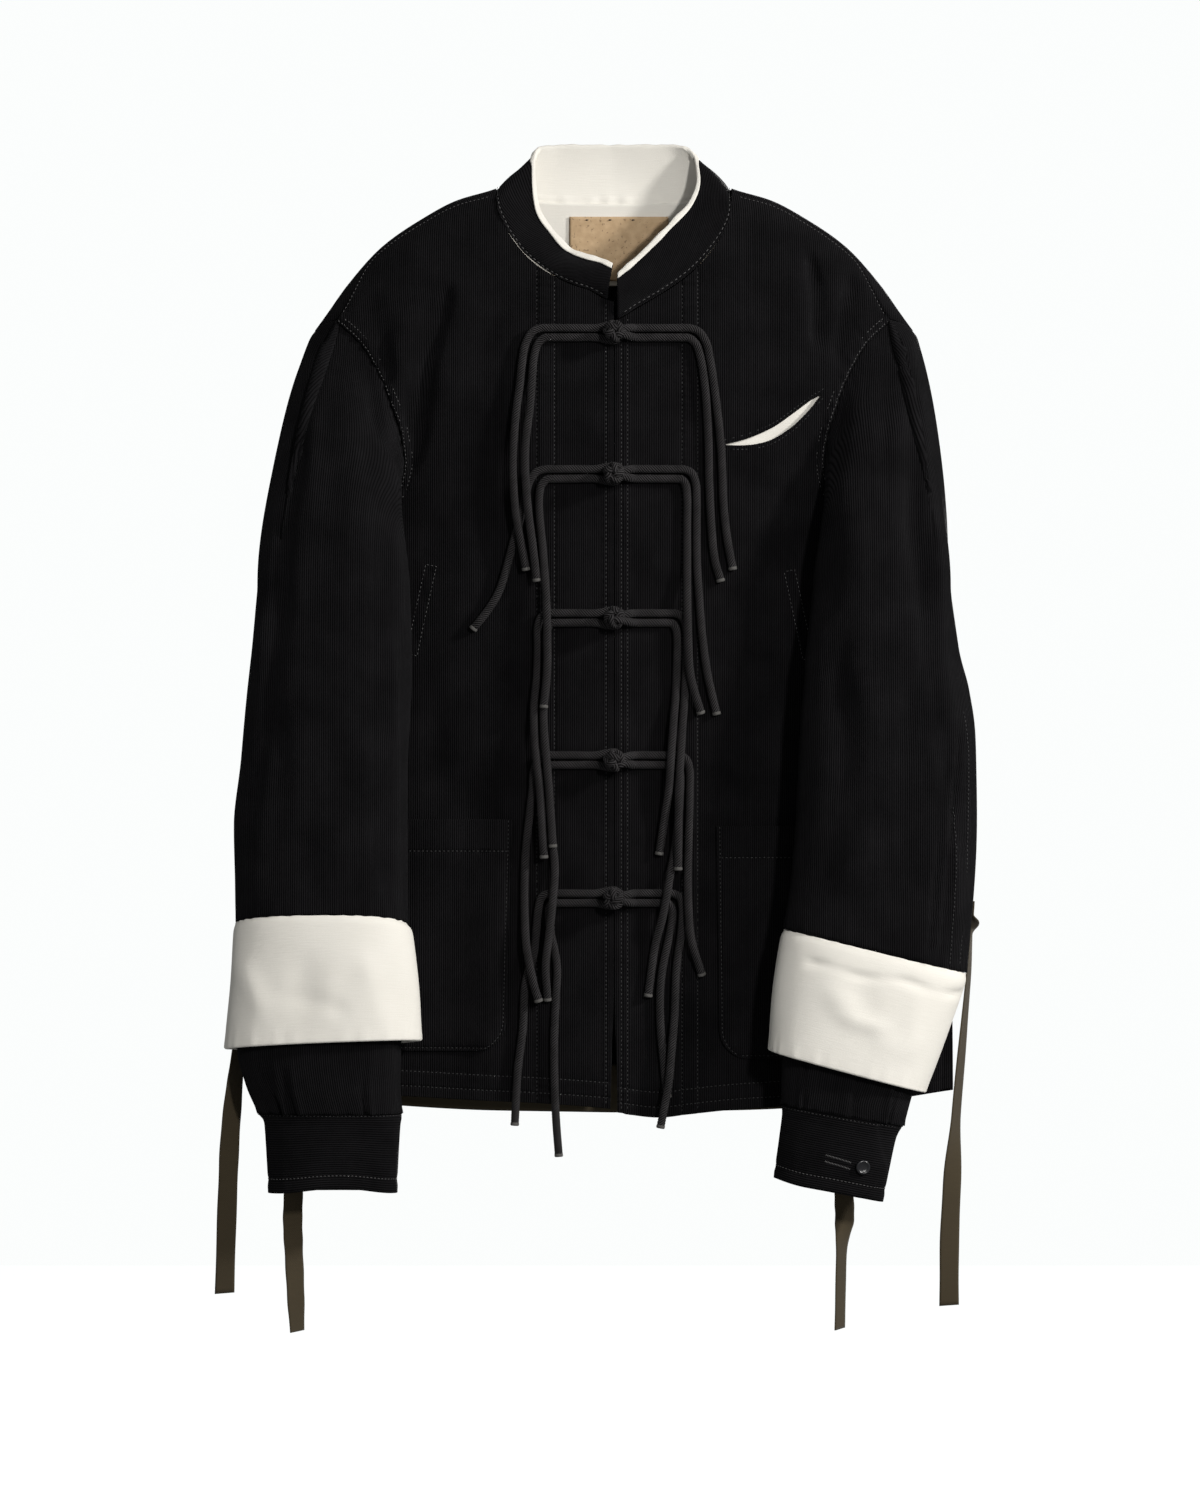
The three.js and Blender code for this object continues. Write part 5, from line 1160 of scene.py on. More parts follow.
def sleeve_relief(sign):
    """Small forms of a sleeve: creases seen from the front, felled seams and puckers at both ends."""
    def relief(point, normal, angle, v):
        x, z = point[..., 0], point[..., 2]
        facing = smooth(0.1, 0.5, -normal[..., 1])
        height = 2.2 * lines_height(SLEEVE_CREASES[sign], x, z, wobble=0.4) * facing
        for x0, z0, x1, z1 in FELLED[sign]:
            along, across, long = welt_place((x0, z0, x1, z1), x, z)
            near = smooth(0, 10, along) * (1 - smooth(long, long + 6, along)) * facing
            height = height + near * (1.0 * pucker(along, across, 0.5, 1.9) - 1.3 * groove(across, 1.6)
                                      + 0.8 * groove(across - 4, 3))
        height = height + 1.2 * soft_cloth(angle * 1.1, z, 1.7 * sign)
        height = height + 0.35 * pucker(angle * 1.4, (1 - v) * 260, 0.4) * smooth(0.5, 0.9, v)
        ease = 0.45 * pucker(angle * 1.9, v * 90, 1.3, 2.2) * smooth(0, 0.008, v)
        return height * smooth(0, 0.05, v) + ease - 0.15 * (1 - smooth(0, 0.01, v))
    return relief


def ring_uv(points, first_zero, upright, sign):
    """Cloth places of a tube: the run round it from one column, and the run down that column. Where the
    wales hang upright, a step counts only by its part along the level direction on the cloth, z x normal."""
    step = np.diff(points, axis=1)
    if upright:
        normal = sign * np.cross(np.gradient(points, axis=1), np.gradient(points, axis=0))
        level = unit(xyz(-normal[..., 1], normal[..., 0], 0))
        gained = np.sum(step * (level[:, 1:] + level[:, :-1]) / 2, axis=-1)
        side = (level[1:, first_zero] + level[:-1, first_zero]) / 2
        drift = np.concatenate([[0], np.cumsum(np.sum(np.diff(points[:, first_zero], axis=0) * side, axis=-1))])
    else:
        gained = np.hypot(step[..., 0], step[..., 1])
        drift = np.zeros(len(points))
    around = np.concatenate([np.zeros((len(points), 1)), np.cumsum(gained, 1)], 1)
    around = around - around[:, first_zero:first_zero + 1] + drift[:, None]
    fall = np.linalg.norm(np.diff(points, axis=0), axis=-1)
    down = np.concatenate([np.zeros((1, points.shape[1])), np.cumsum(fall, 0)], 0)
    down = down[:, first_zero:first_zero + 1] + np.zeros_like(down)
    return np.stack([around, down], -1) * MM


def arm_piece(name, surface, sign, columns, rows, thickness, finish, slot, upright=False, front_angle=450):
    """A tube of cloth from a surface, closed where its last column meets its first."""
    angles = np.linspace(UNDERARM, UNDERARM + 360, columns + 1)
    points = surface(angles[None, :], np.asarray(rows)[:, None])
    points[:, -1] = points[:, 0]
    uv = ring_uv(points, int(np.argmin(np.abs(angles - front_angle))), upright, sign)
    piece = thicken(cloth_mesh(f"{name}_cloth", points[:, :-1], uv, facing=sign, closed=True), thickness)
    dress(piece, finish, slot, name)
    print(f"{name}: {len(piece.data.polygons)} faces, {grid_area(points):.4f} m2")
    return piece, points


sleeve_at = {-1: raised(sleeve_form(-1, LEFT_SLEEVE), sleeve_relief(-1), -1),
             1: raised(sleeve_form(1, RIGHT_SLEEVE), sleeve_relief(1), 1)}
sleeve_rows = np.concatenate([np.linspace(0, 0.06, 11, endpoint=False), np.linspace(0.06, 1, 112)])
sleeve_left, sleeve_left_points = arm_piece("sleeve_left", sleeve_at[-1], -1, 132, sleeve_rows, CLOTH - 0.1,
                                            CORDUROY, "corduroy", upright=True)
sleeve_right, sleeve_right_points = arm_piece("sleeve_right", sleeve_at[1], 1, 132, sleeve_rows, CLOTH - 0.1,
                                              CORDUROY, "corduroy", upright=True)

# %% [markdown]
# ## Turned-up ends, under-sleeves and cuff bands
#
# The cream turn-ups are the sleeve's lining folded outwards, so their lower edge is a soft roll. Below
# them an under-sleeve ends in a buttoned band. On the band the wales run round the wrist.

# %% Turn-ups
def tube_band(sign, rows, relief, length, roll=1.7):
    """A tube whose lower edge rolls inwards: the last rows follow a half circle of radius roll."""
    surface = raised(arm_tube(sign, rows), relief, sign)

    def at(angle, v):
        inside = np.clip((v - 1) * length / roll, 0, np.pi * 1.15)
        point = surface(angle, np.minimum(v, 1.0), -roll * (1 - np.cos(inside)))
        return point + xyz(0, 0, -roll * np.sin(np.minimum(inside, np.pi)))
    return at, surface


def turn_up_relief(sign):
    """Waves of the thick folded cotton, its pressed upper edge and the seam band of the right one."""
    lines = {-1: [(-292, -574, -268, -640, 0.9, 9), (-240, -566, -232, -648, -0.8, 12),
                  (-186, -570, -178, -646, 0.9, 9), (-268, -612, -196, -622, -0.6, 7),
                  (-216, -580, -214, -640, 0.5, 8)],
             1: [(142, -585, 296, -616, -0.7, 3.2), (150, -600, 236, -660, 0.8, 10),
                 (196, -590, 190, -660, -0.9, 10), (228, -598, 224, -666, 0.7, 8), (160, -622, 214, -634, 0.6, 6)]}

    def relief(point, normal, angle, v):
        x, z = point[..., 0], point[..., 2]
        facing = smooth(0.05, 0.4, -normal[..., 1])
        height = 1.9 * lines_height(lines[sign], x, z, wobble=0.5) * facing
        height = height + 0.9 * np.sin(np.radians(angle) * 5 + 2.2 * sign) * smooth(0.3, 1, v) * (v - 0.3)
        height = height + 0.5 * pucker(angle * 1.35, v * 90, 1.1) + 0.3 * pucker(angle * 1.35, (1 - v) * 90, 2.1)
        if sign > 0:
            height = height + 0.5 * smooth(22, 18, np.abs(angle - 6)) - 0.5 * groove(angle - 26, 0.9)
        return height + 0.6 * soft_cloth(angle * 1.2, z * 1.3, 3.1 * sign)
    return relief


turn_up_rows = np.concatenate([np.linspace(0, 1, 44), 1 + np.linspace(0.006, 0.07, 8)])
turn_ups = {}
for sign, name, table in ((-1, "turn_up_left", LEFT_TURN_UP), (1, "turn_up_right", RIGHT_TURN_UP)):
    surface, flat_surface = tube_band(sign, table, turn_up_relief(sign), 92)
    turn_ups[sign] = flat_surface, *arm_piece(name, surface, sign, 120, turn_up_rows, 1.4, CREAM, "cream_cotton")

# %% Under-sleeves and bands
PLEATS = {-1: (52, 66, 118), 1: (46, 84, 128)}


def lower_relief(sign):
    """Pleats into the band, deeper towards it, and loose creases above."""
    def relief(point, normal, angle, v):
        low = smooth(0.45, 0.95, v)
        height = 0.0
        for number, place in enumerate(PLEATS[sign]):
            off = (angle % 360 - place - 6 * (1 - v)) * 1.05
            height = height + low * (2.4 * groove(off - 4, 3.2) - 3.2 * groove(off, 1.7))
        height = height + 0.8 * soft_cloth(angle * 1.4, point[..., 2] * 1.6, 2.3 * sign)
        return height + 0.5 * pucker(angle * 0.9, (1 - v) * 140, 0.8)
    return relief


WAVES = {-1: (4.2, 96, 34), 1: (-1.6, 120, 30)}


def waved(surface, height, middle, width):
    """The same tube with a bell-shaped lift in its lower edge, round one angle."""
    def at(angle, v):
        bell = np.exp(-(((angle % 360 - middle) / width) ** 2)) * np.clip(v, 0, 1) ** 2
        return surface(angle, v) + xyz(0, 0, height * bell)
    return at


TAB_EDGE = curve([(-769.2, 182.5), (-744.6, 208.2), (-732.3, 204.8), (-720.7, 202), (-700, 200)])


def band_relief(sign):
    """Stitched edges of the band, its soft dents, and the right one's free end, cut to a point."""
    def relief(point, normal, angle, v):
        down = v * 61
        tab = 0.0
        if sign > 0:
            tab = 1.9 * smooth(0.6, -0.6, point[..., 0] - TAB_EDGE(point[..., 2]))
            tab = tab * smooth(0.1, 0.4, -normal[..., 1])
        height = 0.35 * soft_cloth(angle * 1.3, point[..., 2] * 1.5, 1.9 * sign)
        for place in (4.0, 55.5):
            height = height - 0.5 * groove(down - place, 1.1) + 0.15 * pucker(angle * 0.9, down - place, place)
        return height + tab + 0.4 * (smooth(3, 1, down) + smooth(56.5, 58.5, down))
    return relief


lower_at, band_at, arm_sheets = {}, {}, {}
for sign, side, lower, band in ((-1, "left", LEFT_LOWER, LEFT_BAND), (1, "right", RIGHT_LOWER, RIGHT_BAND)):
    lower_at[sign] = raised(arm_tube(sign, lower), lower_relief(sign), sign)
    band_at[sign] = raised(waved(arm_tube(sign, band), *WAVES[sign]), band_relief(sign), sign)
    arm_sheets[f"lower_sleeve_{side}"] = arm_piece(f"lower_sleeve_{side}", lower_at[sign], sign, 120,
                                                   np.linspace(0, 1, 44), 1.4, CORDUROY, "corduroy")
    band_rows = spaced(0, 1, 0.026, (0.0656, 0.91), 0.013, 0.03)
    arm_sheets[f"cuff_band_{side}"] = arm_piece(f"cuff_band_{side}", band_at[sign], sign, 150, band_rows, 2.2,
                                                CORDUROY_TURNED, "corduroy")

# %% [markdown]
# ## Collar
#
# The stand collar is a strip that leans inwards. A place on it is a run along the neck seam, out across
# the back and in again along the front, and a share of its height. The cream inner collar comes over the
# top edge as a narrow roll.

# %% The collar's form
COLLAR_TOP = {
    -1: [(0, 0, 17, 46), (45, 36, 16, 46.5), (76, 56, 11, 45), (91.2, 62, 3, 34), (96.4, 61.5, -8, 16),
         (103.9, 59, -15, -3), (117.4, 48, -23, -22), (133.9, 33, -30, -38), (147.4, 22, -34, -42.5),
         (164.4, 9, -37, -46), (177, 1, -39, -50)],
    1: [(0, 0, 17, 46), (45, 36, 16, 46.5), (76, 56, 11, 45), (91.2, 63, 3, 36), (95.4, 65, -8, 20),
        (105.4, 60, -17, 2), (120.9, 46, -26, -15), (135.4, 34, -32, -28), (153.9, 17, -38, -45),
        (168.4, 8, -41, -53), (179.9, 2.4, -42.5, -58)],
}
COLLAR_BULGE, COLLAR_START, COLLAR_INSET, COLLAR_TUCK = 3, 0.8, 0.1, 1.4
COLLAR_ENDS = (-177, 179.9)
top_xyz = {sign: [curve([(row[0], row[i]) for row in rows]) for i in (1, 2, 3)]
           for sign, rows in COLLAR_TOP.items()}


def neck_seam(run):
    """Across, height and side of the neck seam at a run."""
    sign = np.where(run < 0, -1, 1)
    r = np.abs(run)
    behind = r <= NECK_X
    x = np.where(behind, r, 2 * NECK_X - r)
    z = np.where(behind, neck_back(x), np.where(sign < 0, NECK_FRONT[-1](x), NECK_FRONT[1](x)))
    return sign, r, behind, sign * x, z


def collar_at(run, v, out=0.0):
    """The collar's outer face, moved out by some millimetres."""
    run, v = np.broadcast_arrays(np.asarray(run, float), np.asarray(v, float))

    def face(run, v):
        sign, r, behind, x, z = neck_seam(run)
        start = np.where(behind[..., None], skin(x, z, "back"), skin(x, z, "front"))
        top = xyz(*(np.where(sign < 0, top_xyz[-1][i](r), top_xyz[1][i](r)) for i in range(3)))
        top[..., 0] *= sign
        up = unit(top - start)
        corner = np.exp(-(((r - NECK_X) / 7) ** 2))
        start = start + up * (COLLAR_START - COLLAR_TUCK * corner)[..., None]
        start[..., 0] -= sign * COLLAR_INSET * corner
        away = unit(start * np.array([1, 2, 0]))
        return start + (top - start) * v[..., None] + away * (COLLAR_BULGE * 4 * v * (1 - v))[..., None]
    point = face(run, v)
    if np.all(np.asarray(out) == 0):
        return point
    normal = normal_of(face, run, v, 0.5, 0.01)
    wanted = point * np.array([1, 2, 0]) + np.array([0, 0, 35])
    normal = np.where(np.sum(normal * wanted, -1, keepdims=True) < 0, -normal, normal)
    return point + normal * np.broadcast_to(out, run.shape)[..., None]


def collar_relief(run, v):
    """Stitch troughs along the seam and the top, soft dents, and puckers at the seam."""
    height = 0.5 * soft_cloth(run * 1.2, v * 46, 0.6) * smooth(0, 0.2, v)
    height = height - 0.5 * groove((v - 0.075) * 48, 1.2) + 0.3 * pucker(run, (v - 0.05) * 48, 0.3)
    return height + 0.3 * groove((v - 0.5) * 48, 20)


# %% Outer and inner collar
runs = np.concatenate([np.linspace(COLLAR_ENDS[0], -97, 44, endpoint=False),
                       np.linspace(-97, -86, 10, endpoint=False),
                       np.linspace(-86, 86, 62, endpoint=False), np.linspace(86, 97, 10, endpoint=False),
                       np.linspace(97, COLLAR_ENDS[1], 44)])
heights = np.concatenate([np.linspace(0, 0.15, 9, endpoint=False), np.linspace(0.15, 1, 28)])
run_grid, height_grid = np.meshgrid(runs, heights)
collar_points = collar_at(run_grid, height_grid, collar_relief(run_grid, height_grid) + 1e-6)
collar_uv = np.stack([run_grid, height_grid * 48], -1) * MM
collar_outer = thicken(cloth_mesh("collar_outer_cloth", collar_points, collar_uv, facing=-1), CLOTH)
dress(collar_outer, CORDUROY_BIAS, "corduroy", "collar_outer")

TURN_OUT, TURN_HIGH = 1.45, 1.7
inner_runs = np.clip(runs, COLLAR_ENDS[0] + 0.4, COLLAR_ENDS[1] - 0.4)
tall = np.linalg.norm(collar_at(inner_runs, 1.0) - collar_at(inner_runs, 0.0), axis=-1)
wave = 0.25 * np.sin(inner_runs / 4.3 + 1.5 * np.sin(inner_runs / 19)) + 0.15 * np.sin(inner_runs / 2.3)


low_end = mix(-0.03, 0.1, smooth(80, 90, np.abs(inner_runs)))


def lining_row(v, out):
    """A row of the inner collar at a share of the height, lifted by some millimetres off the outer collar."""
    v = np.broadcast_to(v, inner_runs.shape)
    return collar_at(inner_runs, v, collar_relief(inner_runs, v) + out)


rows = [lining_row(mix(low_end, 1.0, v), -(CLOTH + 0.75) + 0.12 * soft_cloth(inner_runs, v * 46, 2.0))
        for v in np.linspace(0, 1, 28)]
upward = unit(collar_at(inner_runs, 1.0) - collar_at(inner_runs, 0.9))
for a in np.linspace(0, np.pi, 9)[1:]:
    out = mix(-(CLOTH + 0.75), TURN_OUT + wave, (1 - math.cos(a)) / 2)
    rows.append(lining_row(1.0, out) + upward * ((TURN_HIGH + wave) * math.sin(a))[..., None])
for drop in (0.9, 1.8, 2.6, 3.1):
    rows.append(lining_row(1 - (drop + 0.8 * wave) / tall, TURN_OUT + wave - (0.5 if drop > 3 else 0)))
inner_points = np.array(rows)
inner_uv = np.stack(np.broadcast_arrays(inner_runs[None], np.arange(len(rows))[:, None] * 1.8), -1) * MM
collar_inner = thicken(cloth_mesh("collar_inner_cloth", inner_points, inner_uv, facing=1), 0.6)
dress(collar_inner, CREAM, "cream_cotton", "collar_inner")
print("collar:", round(grid_area(collar_points), 4), "m2, inner", round(grid_area(inner_points), 4), "m2")

# %% [markdown]
# ## Inside the neck, the slit and the hem
#
# A cream facing covers the inside of the back of the neck and carries a label of brown paper-like stock,
# left bare. A strip of the same cotton lies behind the chest slit, and an olive facing inside the hem.

# %% Facings and label
FACING_HALF, FACING_DROP = 84, 62
LABEL = (-34.5, 42.5, -8, -58)


def patch(name, x, z, side, out, thickness, finish, slot, node, relief=None, facing=1):
    """A piece that lies on the body at some height: x and z are grids in mm."""
    height = out + (relief if relief is not None else 0)
    points = skin(x, z, side, height)
    uv = np.stack([cloth_across(x, z, side), z], -1) * MM
    piece = thicken(cloth_mesh(f"{name}_cloth", points, uv, facing=facing), thickness)
    dress(piece, finish, slot, node)
    return piece, points


u, v = np.meshgrid(np.linspace(-1, 1, 70), np.linspace(0, 1, 34))
facing_x = FACING_HALF * u
facing_z = mix(neck_back(np.abs(facing_x)) + 1.6, -FACING_DROP + 26 * u * u, v)
neck_facing, facing_points = patch("back_neck_facing", facing_x, facing_z, "back", -(CLOTH + INSIDE), COTTON, CREAM,
                                   "cream_cotton", "back_neck_facing", 0.5 * soft_cloth(facing_x, facing_z, 1.2))
u, v = np.meshgrid(np.linspace(0, 1, 44), np.linspace(0, 1, 28))
label_x, label_z = mix(LABEL[0], LABEL[1], u), mix(LABEL[2], LABEL[3], v)
curl = 0.7 * smooth(0.75, 1, v) * (0.5 + 0.5 * np.sin(5 * u)) + 0.25 * np.sin(9 * u + 3 * v)
neck_label, label_points = patch("neck_label", label_x, label_z, "back", -(CLOTH + INSIDE + COTTON + INSIDE), 0.7,
                                 KRAFT, "label", "neck_label", -curl)
u, v = np.meshgrid(np.linspace(80, 164, 40), np.linspace(9, -9, 14))
slit_lining, lining_points = patch("chest_slit_lining", u, slit_z(u) + v, "front", -(CLOTH + 1.6), COTTON, CREAM,
                                   "cream_cotton", "chest_slit_lining", 0.3 * np.sin(u / 7), facing=-1)
u, v = np.meshgrid(np.linspace(-211, 211, 150), np.linspace(38, 0.6, 14))
hem_facing, hem_points = patch("back_hem_facing", u, hem_back(np.abs(u)) + v, "back", -(CLOTH + INSIDE), COTTON,
                               OLIVE, "olive_cotton", "back_hem_facing",
                               back_relief(u, hem_back(np.abs(u)) + v))
print("facings, label and lining made")

# %% [markdown]
# ## Patch pockets
#
# Each pocket is a patch on the front, stitched down along its inner side and its lower edge, with a round
# inner lower corner. Its top edge is hemmed and stands a little away from the body.

# %% Pockets
POCKETS = {-1: (78.5, 5, 238, -477, -656), 1: (78.5, 2.5, 238, -482, -662)}
POCKET_CORNER = 23


def pocket_side(sign, z):
    """How far out the pocket's inner side lies at a height, with the round lower corner."""
    inner, lean, outer, top, bottom = POCKETS[sign]
    below = np.clip(bottom + POCKET_CORNER - z, 0, POCKET_CORNER)
    return inner + lean * ((top - z) / (top - bottom)) + POCKET_CORNER - np.sqrt(POCKET_CORNER**2 - below**2)


def pocket_height(sign, x, z):
    """Height of the pocket's face over the skin: low at the stitched edges, open at the top."""
    inner, lean, outer, top, bottom = POCKETS[sign]
    edge = np.minimum(np.abs(x) - pocket_side(sign, z), z - bottom)
    down, from_top = smooth(0, 9, edge), top - z
    height = 2.2 + 1.1 * down + 0.6 * smooth(40, 0, from_top) * down
    height = height + 0.45 * soft_cloth(x * 1.2, z, 4.1 * sign) * down
    height = height - 1.0 * groove(edge - 2.4, 1.0)
    height = height + 0.6 * smooth(25.5, 24.5, from_top) - 0.9 * groove(from_top - 24.5, 1.0)
    return height + 0.3 * pucker(x, from_top - 24.5, 1.3) + 0.22 * pucker(z, np.abs(x) - pocket_side(sign, z), 0.7)


def pocket_skin(sign, x, z, out=0.0):
    """A point on a pocket's face."""
    return front_skin(sign, x, z, pocket_height(sign, x, z) + out)


pockets = {}
for sign, name in ((-1, "pocket_left"), (1, "pocket_right")):
    inner, lean, outer, top, bottom = POCKETS[sign]
    shares = spaced(0, 1, 0.024, (0, 0.012, 0.041), 0.006, 0.03)
    rows = spaced(0, 1, 0.022, (0, 0.137, 0.965, 1), 0.006, 0.02)
    u, v = np.meshgrid(shares, rows)
    pocket_z = mix(top, bottom, v)
    pocket_x = sign * mix(pocket_side(sign, pocket_z), outer, u)
    points = pocket_skin(sign, pocket_x, pocket_z)
    uv = np.stack([cloth_across(pocket_x, pocket_z, "front"), pocket_z], -1) * MM
    pockets[sign] = thicken(cloth_mesh(f"{name}_cloth", points, uv, facing=-sign), 1.5), points
    dress(pockets[sign][0], CORDUROY, "corduroy", name)
print("pockets:", [round(grid_area(points), 4) for piece, points in pockets.values()], "m2")

# %% [markdown]
# ## Frogs
#
# Each frog is two lengths of bias cord laid side by side. The left one turns back on itself as a loop, and
# the right one ends in a knot that is tied as a ball and pushed through the loop. The ball is a Turk's
# head: a cord that goes three times round a sphere, swings five times up and down as it does, and passes
# over and under itself.

# %% Loops and knots
FROGS = [(-102.4, 48.5, 52), (-211, 46.5, 47.5), (-321.9, 44, 40), (-431.2, 44, 43.5), (-537.5, 44, 38)]
PAIR = 3.7
LIE = CORD / 2 + 0.5
KNOT_LIFT = 2 * LIE + KNOT / 2 - 0.2
MEET = 0.7
KNOT_CORD = 2.4
KNOT_ROUND, KNOT_WEAVE, KNOT_SWING = 6.0, 0.9, math.radians(60)
LEADS, BIGHTS = 3, 5


def frog_loop(z, end):
    """The loop half: out along the upper cord, round the knot and back along the lower one."""
    half = [(-end - MEET, PAIR), (-30, PAIR), (-14, PAIR), (-5.5, 5.3), (0.8, 5.8)]
    route = half + [(6, 0)] + [(x, -off) for x, off in half[::-1]]
    path, _ = smooth_route(over_front([(x, z + off, LIE) for x, off in route]), RIB_STEP)
    return tube_parts(path, CORD / 2, sides=14)


def frog_arm(z, end, side):
    """One of the two cords that run from the knot to their end."""
    route = [(end + MEET, PAIR, LIE), (32, PAIR, LIE), (17, PAIR, LIE), (13.4, 3.5, 6.2), (9.6, 2.8, 10.8),
             (4, 1.6, 13.5)]
    path, _ = smooth_route(over_front([(x, z + side * off, lift) for x, off, lift in route]), RIB_STEP)
    return tube_parts(path, CORD / 2, sides=14)


def knot_ball(z, seed):
    """A Turk's head: latitude A cos(B t / 3) and radius R + d sin(2 B t / 3) at longitude t, three turns."""
    t = np.linspace(0, 2 * np.pi * LEADS, 361)[:-1]
    latitude = KNOT_SWING * np.cos(BIGHTS * t / LEADS)
    radius = KNOT_ROUND + KNOT_WEAVE * np.sin(2 * BIGHTS * t / LEADS)
    around = xyz(np.cos(latitude) * np.cos(t), np.cos(latitude) * np.sin(t), np.sin(latitude)) * radius[:, None]
    lean, roll = math.radians(70 + 9 * math.sin(seed)), 2.1 * seed
    turn_x = np.array([[1, 0, 0], [0, math.cos(lean), -math.sin(lean)], [0, math.sin(lean), math.cos(lean)]])
    turn_y = np.array([[math.cos(roll), 0, math.sin(roll)], [0, 1, 0], [-math.sin(roll), 0, math.cos(roll)]])
    centre = skin(0.0, z, "front", KNOT_LIFT)
    path = around @ (turn_y @ turn_x).T + centre
    tangent = unit(np.roll(path, -1, 0) - np.roll(path, 1, 0))
    out = unit(path - centre)
    side = unit(np.cross(tangent, out))
    out = np.cross(side, tangent)
    a = np.linspace(0, 2 * np.pi, 12, endpoint=False)
    steps = np.diff(np.concatenate([path, path[:1]]), axis=0)
    run = np.concatenate([[0], np.cumsum(np.linalg.norm(steps, axis=1))])
    run = run * (round(run[-1] / RIB_PITCH) * RIB_PITCH / run[-1])
    thick = KNOT_CORD + rib_height(run[:-1, None], a[None] * KNOT_CORD)
    ring = np.cos(a)[None, :, None] * side[:, None] + np.sin(a)[None, :, None] * out[:, None]
    rows = path[:, None] + thick[..., None] * ring
    rows = np.concatenate([rows, rows[:1]])
    uv = np.stack(np.broadcast_arrays(np.linspace(0, 2 * np.pi, 13)[None] * KNOT_CORD, run[:, None]), -1) * MM
    weave_parts = grid_parts(rows, uv, facing=-1, closed=True)
    up, round_ = np.meshgrid(np.linspace(0.02, np.pi - 0.02, 12), np.linspace(0, 2 * np.pi, 17)[:-1], indexing="ij")
    core = centre + 6.0 * xyz(np.sin(up) * np.cos(round_), np.sin(up) * np.sin(round_), np.cos(up))
    core_uv = np.zeros((12, 17, 2))
    return weave_parts, grid_parts(core, core_uv, facing=-1, closed=True)


for number, (z, left_end, right_end) in enumerate(FROGS, 1):
    loop = mesh_object(f"loop_{number}", *frog_loop(z, left_end))
    dress(loop, ROULEAU, "cord", f"frog_left_{number}")
    knot = mesh_object(f"knot_{number}", *joined(frog_arm(z, right_end, 1), frog_arm(z, right_end, -1),
                                                       *knot_ball(z, float(number))))
    dress(knot, ROULEAU, "cord", f"frog_right_{number}")
print("frogs:", len(FROGS))

# %% [markdown]
# ## Cuff buttons and tie tapes
#
# A button is a turned disc: a profile swept round its axis. The tapes are strips of twill sewn to the backs
# of the sleeves. They turn a little as they hang, so some are seen on edge.

# %% Buttons
BUTTON_DOWN = 0.8
BUTTON_ANGLES = {-1: 285, 1: 65}


def frame_on(surface, angle, v, sign):
    """A place on a tube and its three directions: out, round the arm and down it."""
    at = surface(angle, v)
    out = normal_of(surface, np.asarray(float(angle)), np.asarray(float(v)), 0.5, 0.01) * sign
    down = unit(surface(angle, v + 0.02) - surface(angle, v - 0.02))
    round_arm = unit(np.cross(down, out))
    return at, out, round_arm, np.cross(out, round_arm)


def turned(profile, at, axis, side, sides=40):
    """A profile of (radius, height) swept round an axis."""
    radius, height = np.array(profile, float).T
    a = np.linspace(0, 2 * np.pi, sides, endpoint=False)
    other = np.cross(axis, side)
    ring = np.cos(a)[None, :, None] * side + np.sin(a)[None, :, None] * other
    points = at + axis * height[:, None, None] + ring * radius[:, None, None]
    return grid_parts(points, np.zeros((len(profile), sides + 1, 2)), facing=-1, closed=True)


for sign, side in ((-1, "left"), (1, "right")):
    at, out, across, down = frame_on(band_at[sign], BUTTON_ANGLES[sign], BUTTON_DOWN, sign)
    raise_by = 1.9 if sign > 0 else 0.5
    profile = [(0.01, 0), (4.9, 0), (5.45, 0.5), (5.6, 1.1), (5.45, 1.9), (5.0, 2.35), (4.3, 2.45), (3.8, 2.1),
               (3.2, 1.75), (1.6, 1.6), (0.01, 1.6)]
    button = mesh_object(f"button_{side}", *turned(profile, at + out * raise_by, out, across))
    dress(button, BUTTON, "button", f"cuff_button_{side}")
print("buttons made")

# %% Tapes
TAPES = {
    "left_outer": (-1, LEFT_TURN_UP, 322, 0.35, 0.75, [(-290, -38, -664, 50), (-293, -36, -690, 34),
                   (-296, -36, -725, 8), (-298, -37, -770, -6), (-300, -38, -842, 5)]),
    "left_inner": (-1, LEFT_BAND, 305, 0.2, 0.98, [(-248, -29, -785, 0), (-247, -30, -808, 20),
                   (-245.5, -31, -840, 35), (-244, -32, -872, 50)]),
    "right_outer": (1, RIGHT_SLEEVE, 345, 0.84, 0.87, [(275, -42, -566, 80), (274, -38, -590, 75),
                    (270, -32, -640, 70), (264.5, -28, -705, 65), (261, -27, -760, 20), (259, -28, -806, 5),
                    (258.5, -30, -852, -8)]),
    "right_inner": (1, RIGHT_BAND, 284, 0.2, 0.98, [(178, -31, -784, 10), (176, -31, -808, 50),
                    (174.5, -32, -870, 62)]),
}
SEWN_CLEAR = 0.9


def sewn_at(sign, rows, angle, v):
    """Where a tape is sewn to an arm: its middle and the way it is turned about the upright."""
    surface = arm_tube(sign, rows)
    at = surface(float(angle), v)
    along = surface(angle + 1.0, v) - surface(angle - 1.0, v)
    along = along * (-1 if along[0] < 0 else 1)
    twist = math.atan2(along[1], along[0])
    face = np.array([math.sin(twist), -math.cos(twist), 0])
    out = at - (surface(float(angle), v) + surface(angle + 180.0, v)) / 2
    at = at + face * (SEWN_CLEAR + 1 if np.dot(face[:2], out[:2]) > 0 else -SEWN_CLEAR)
    return (*at, math.degrees(twist))


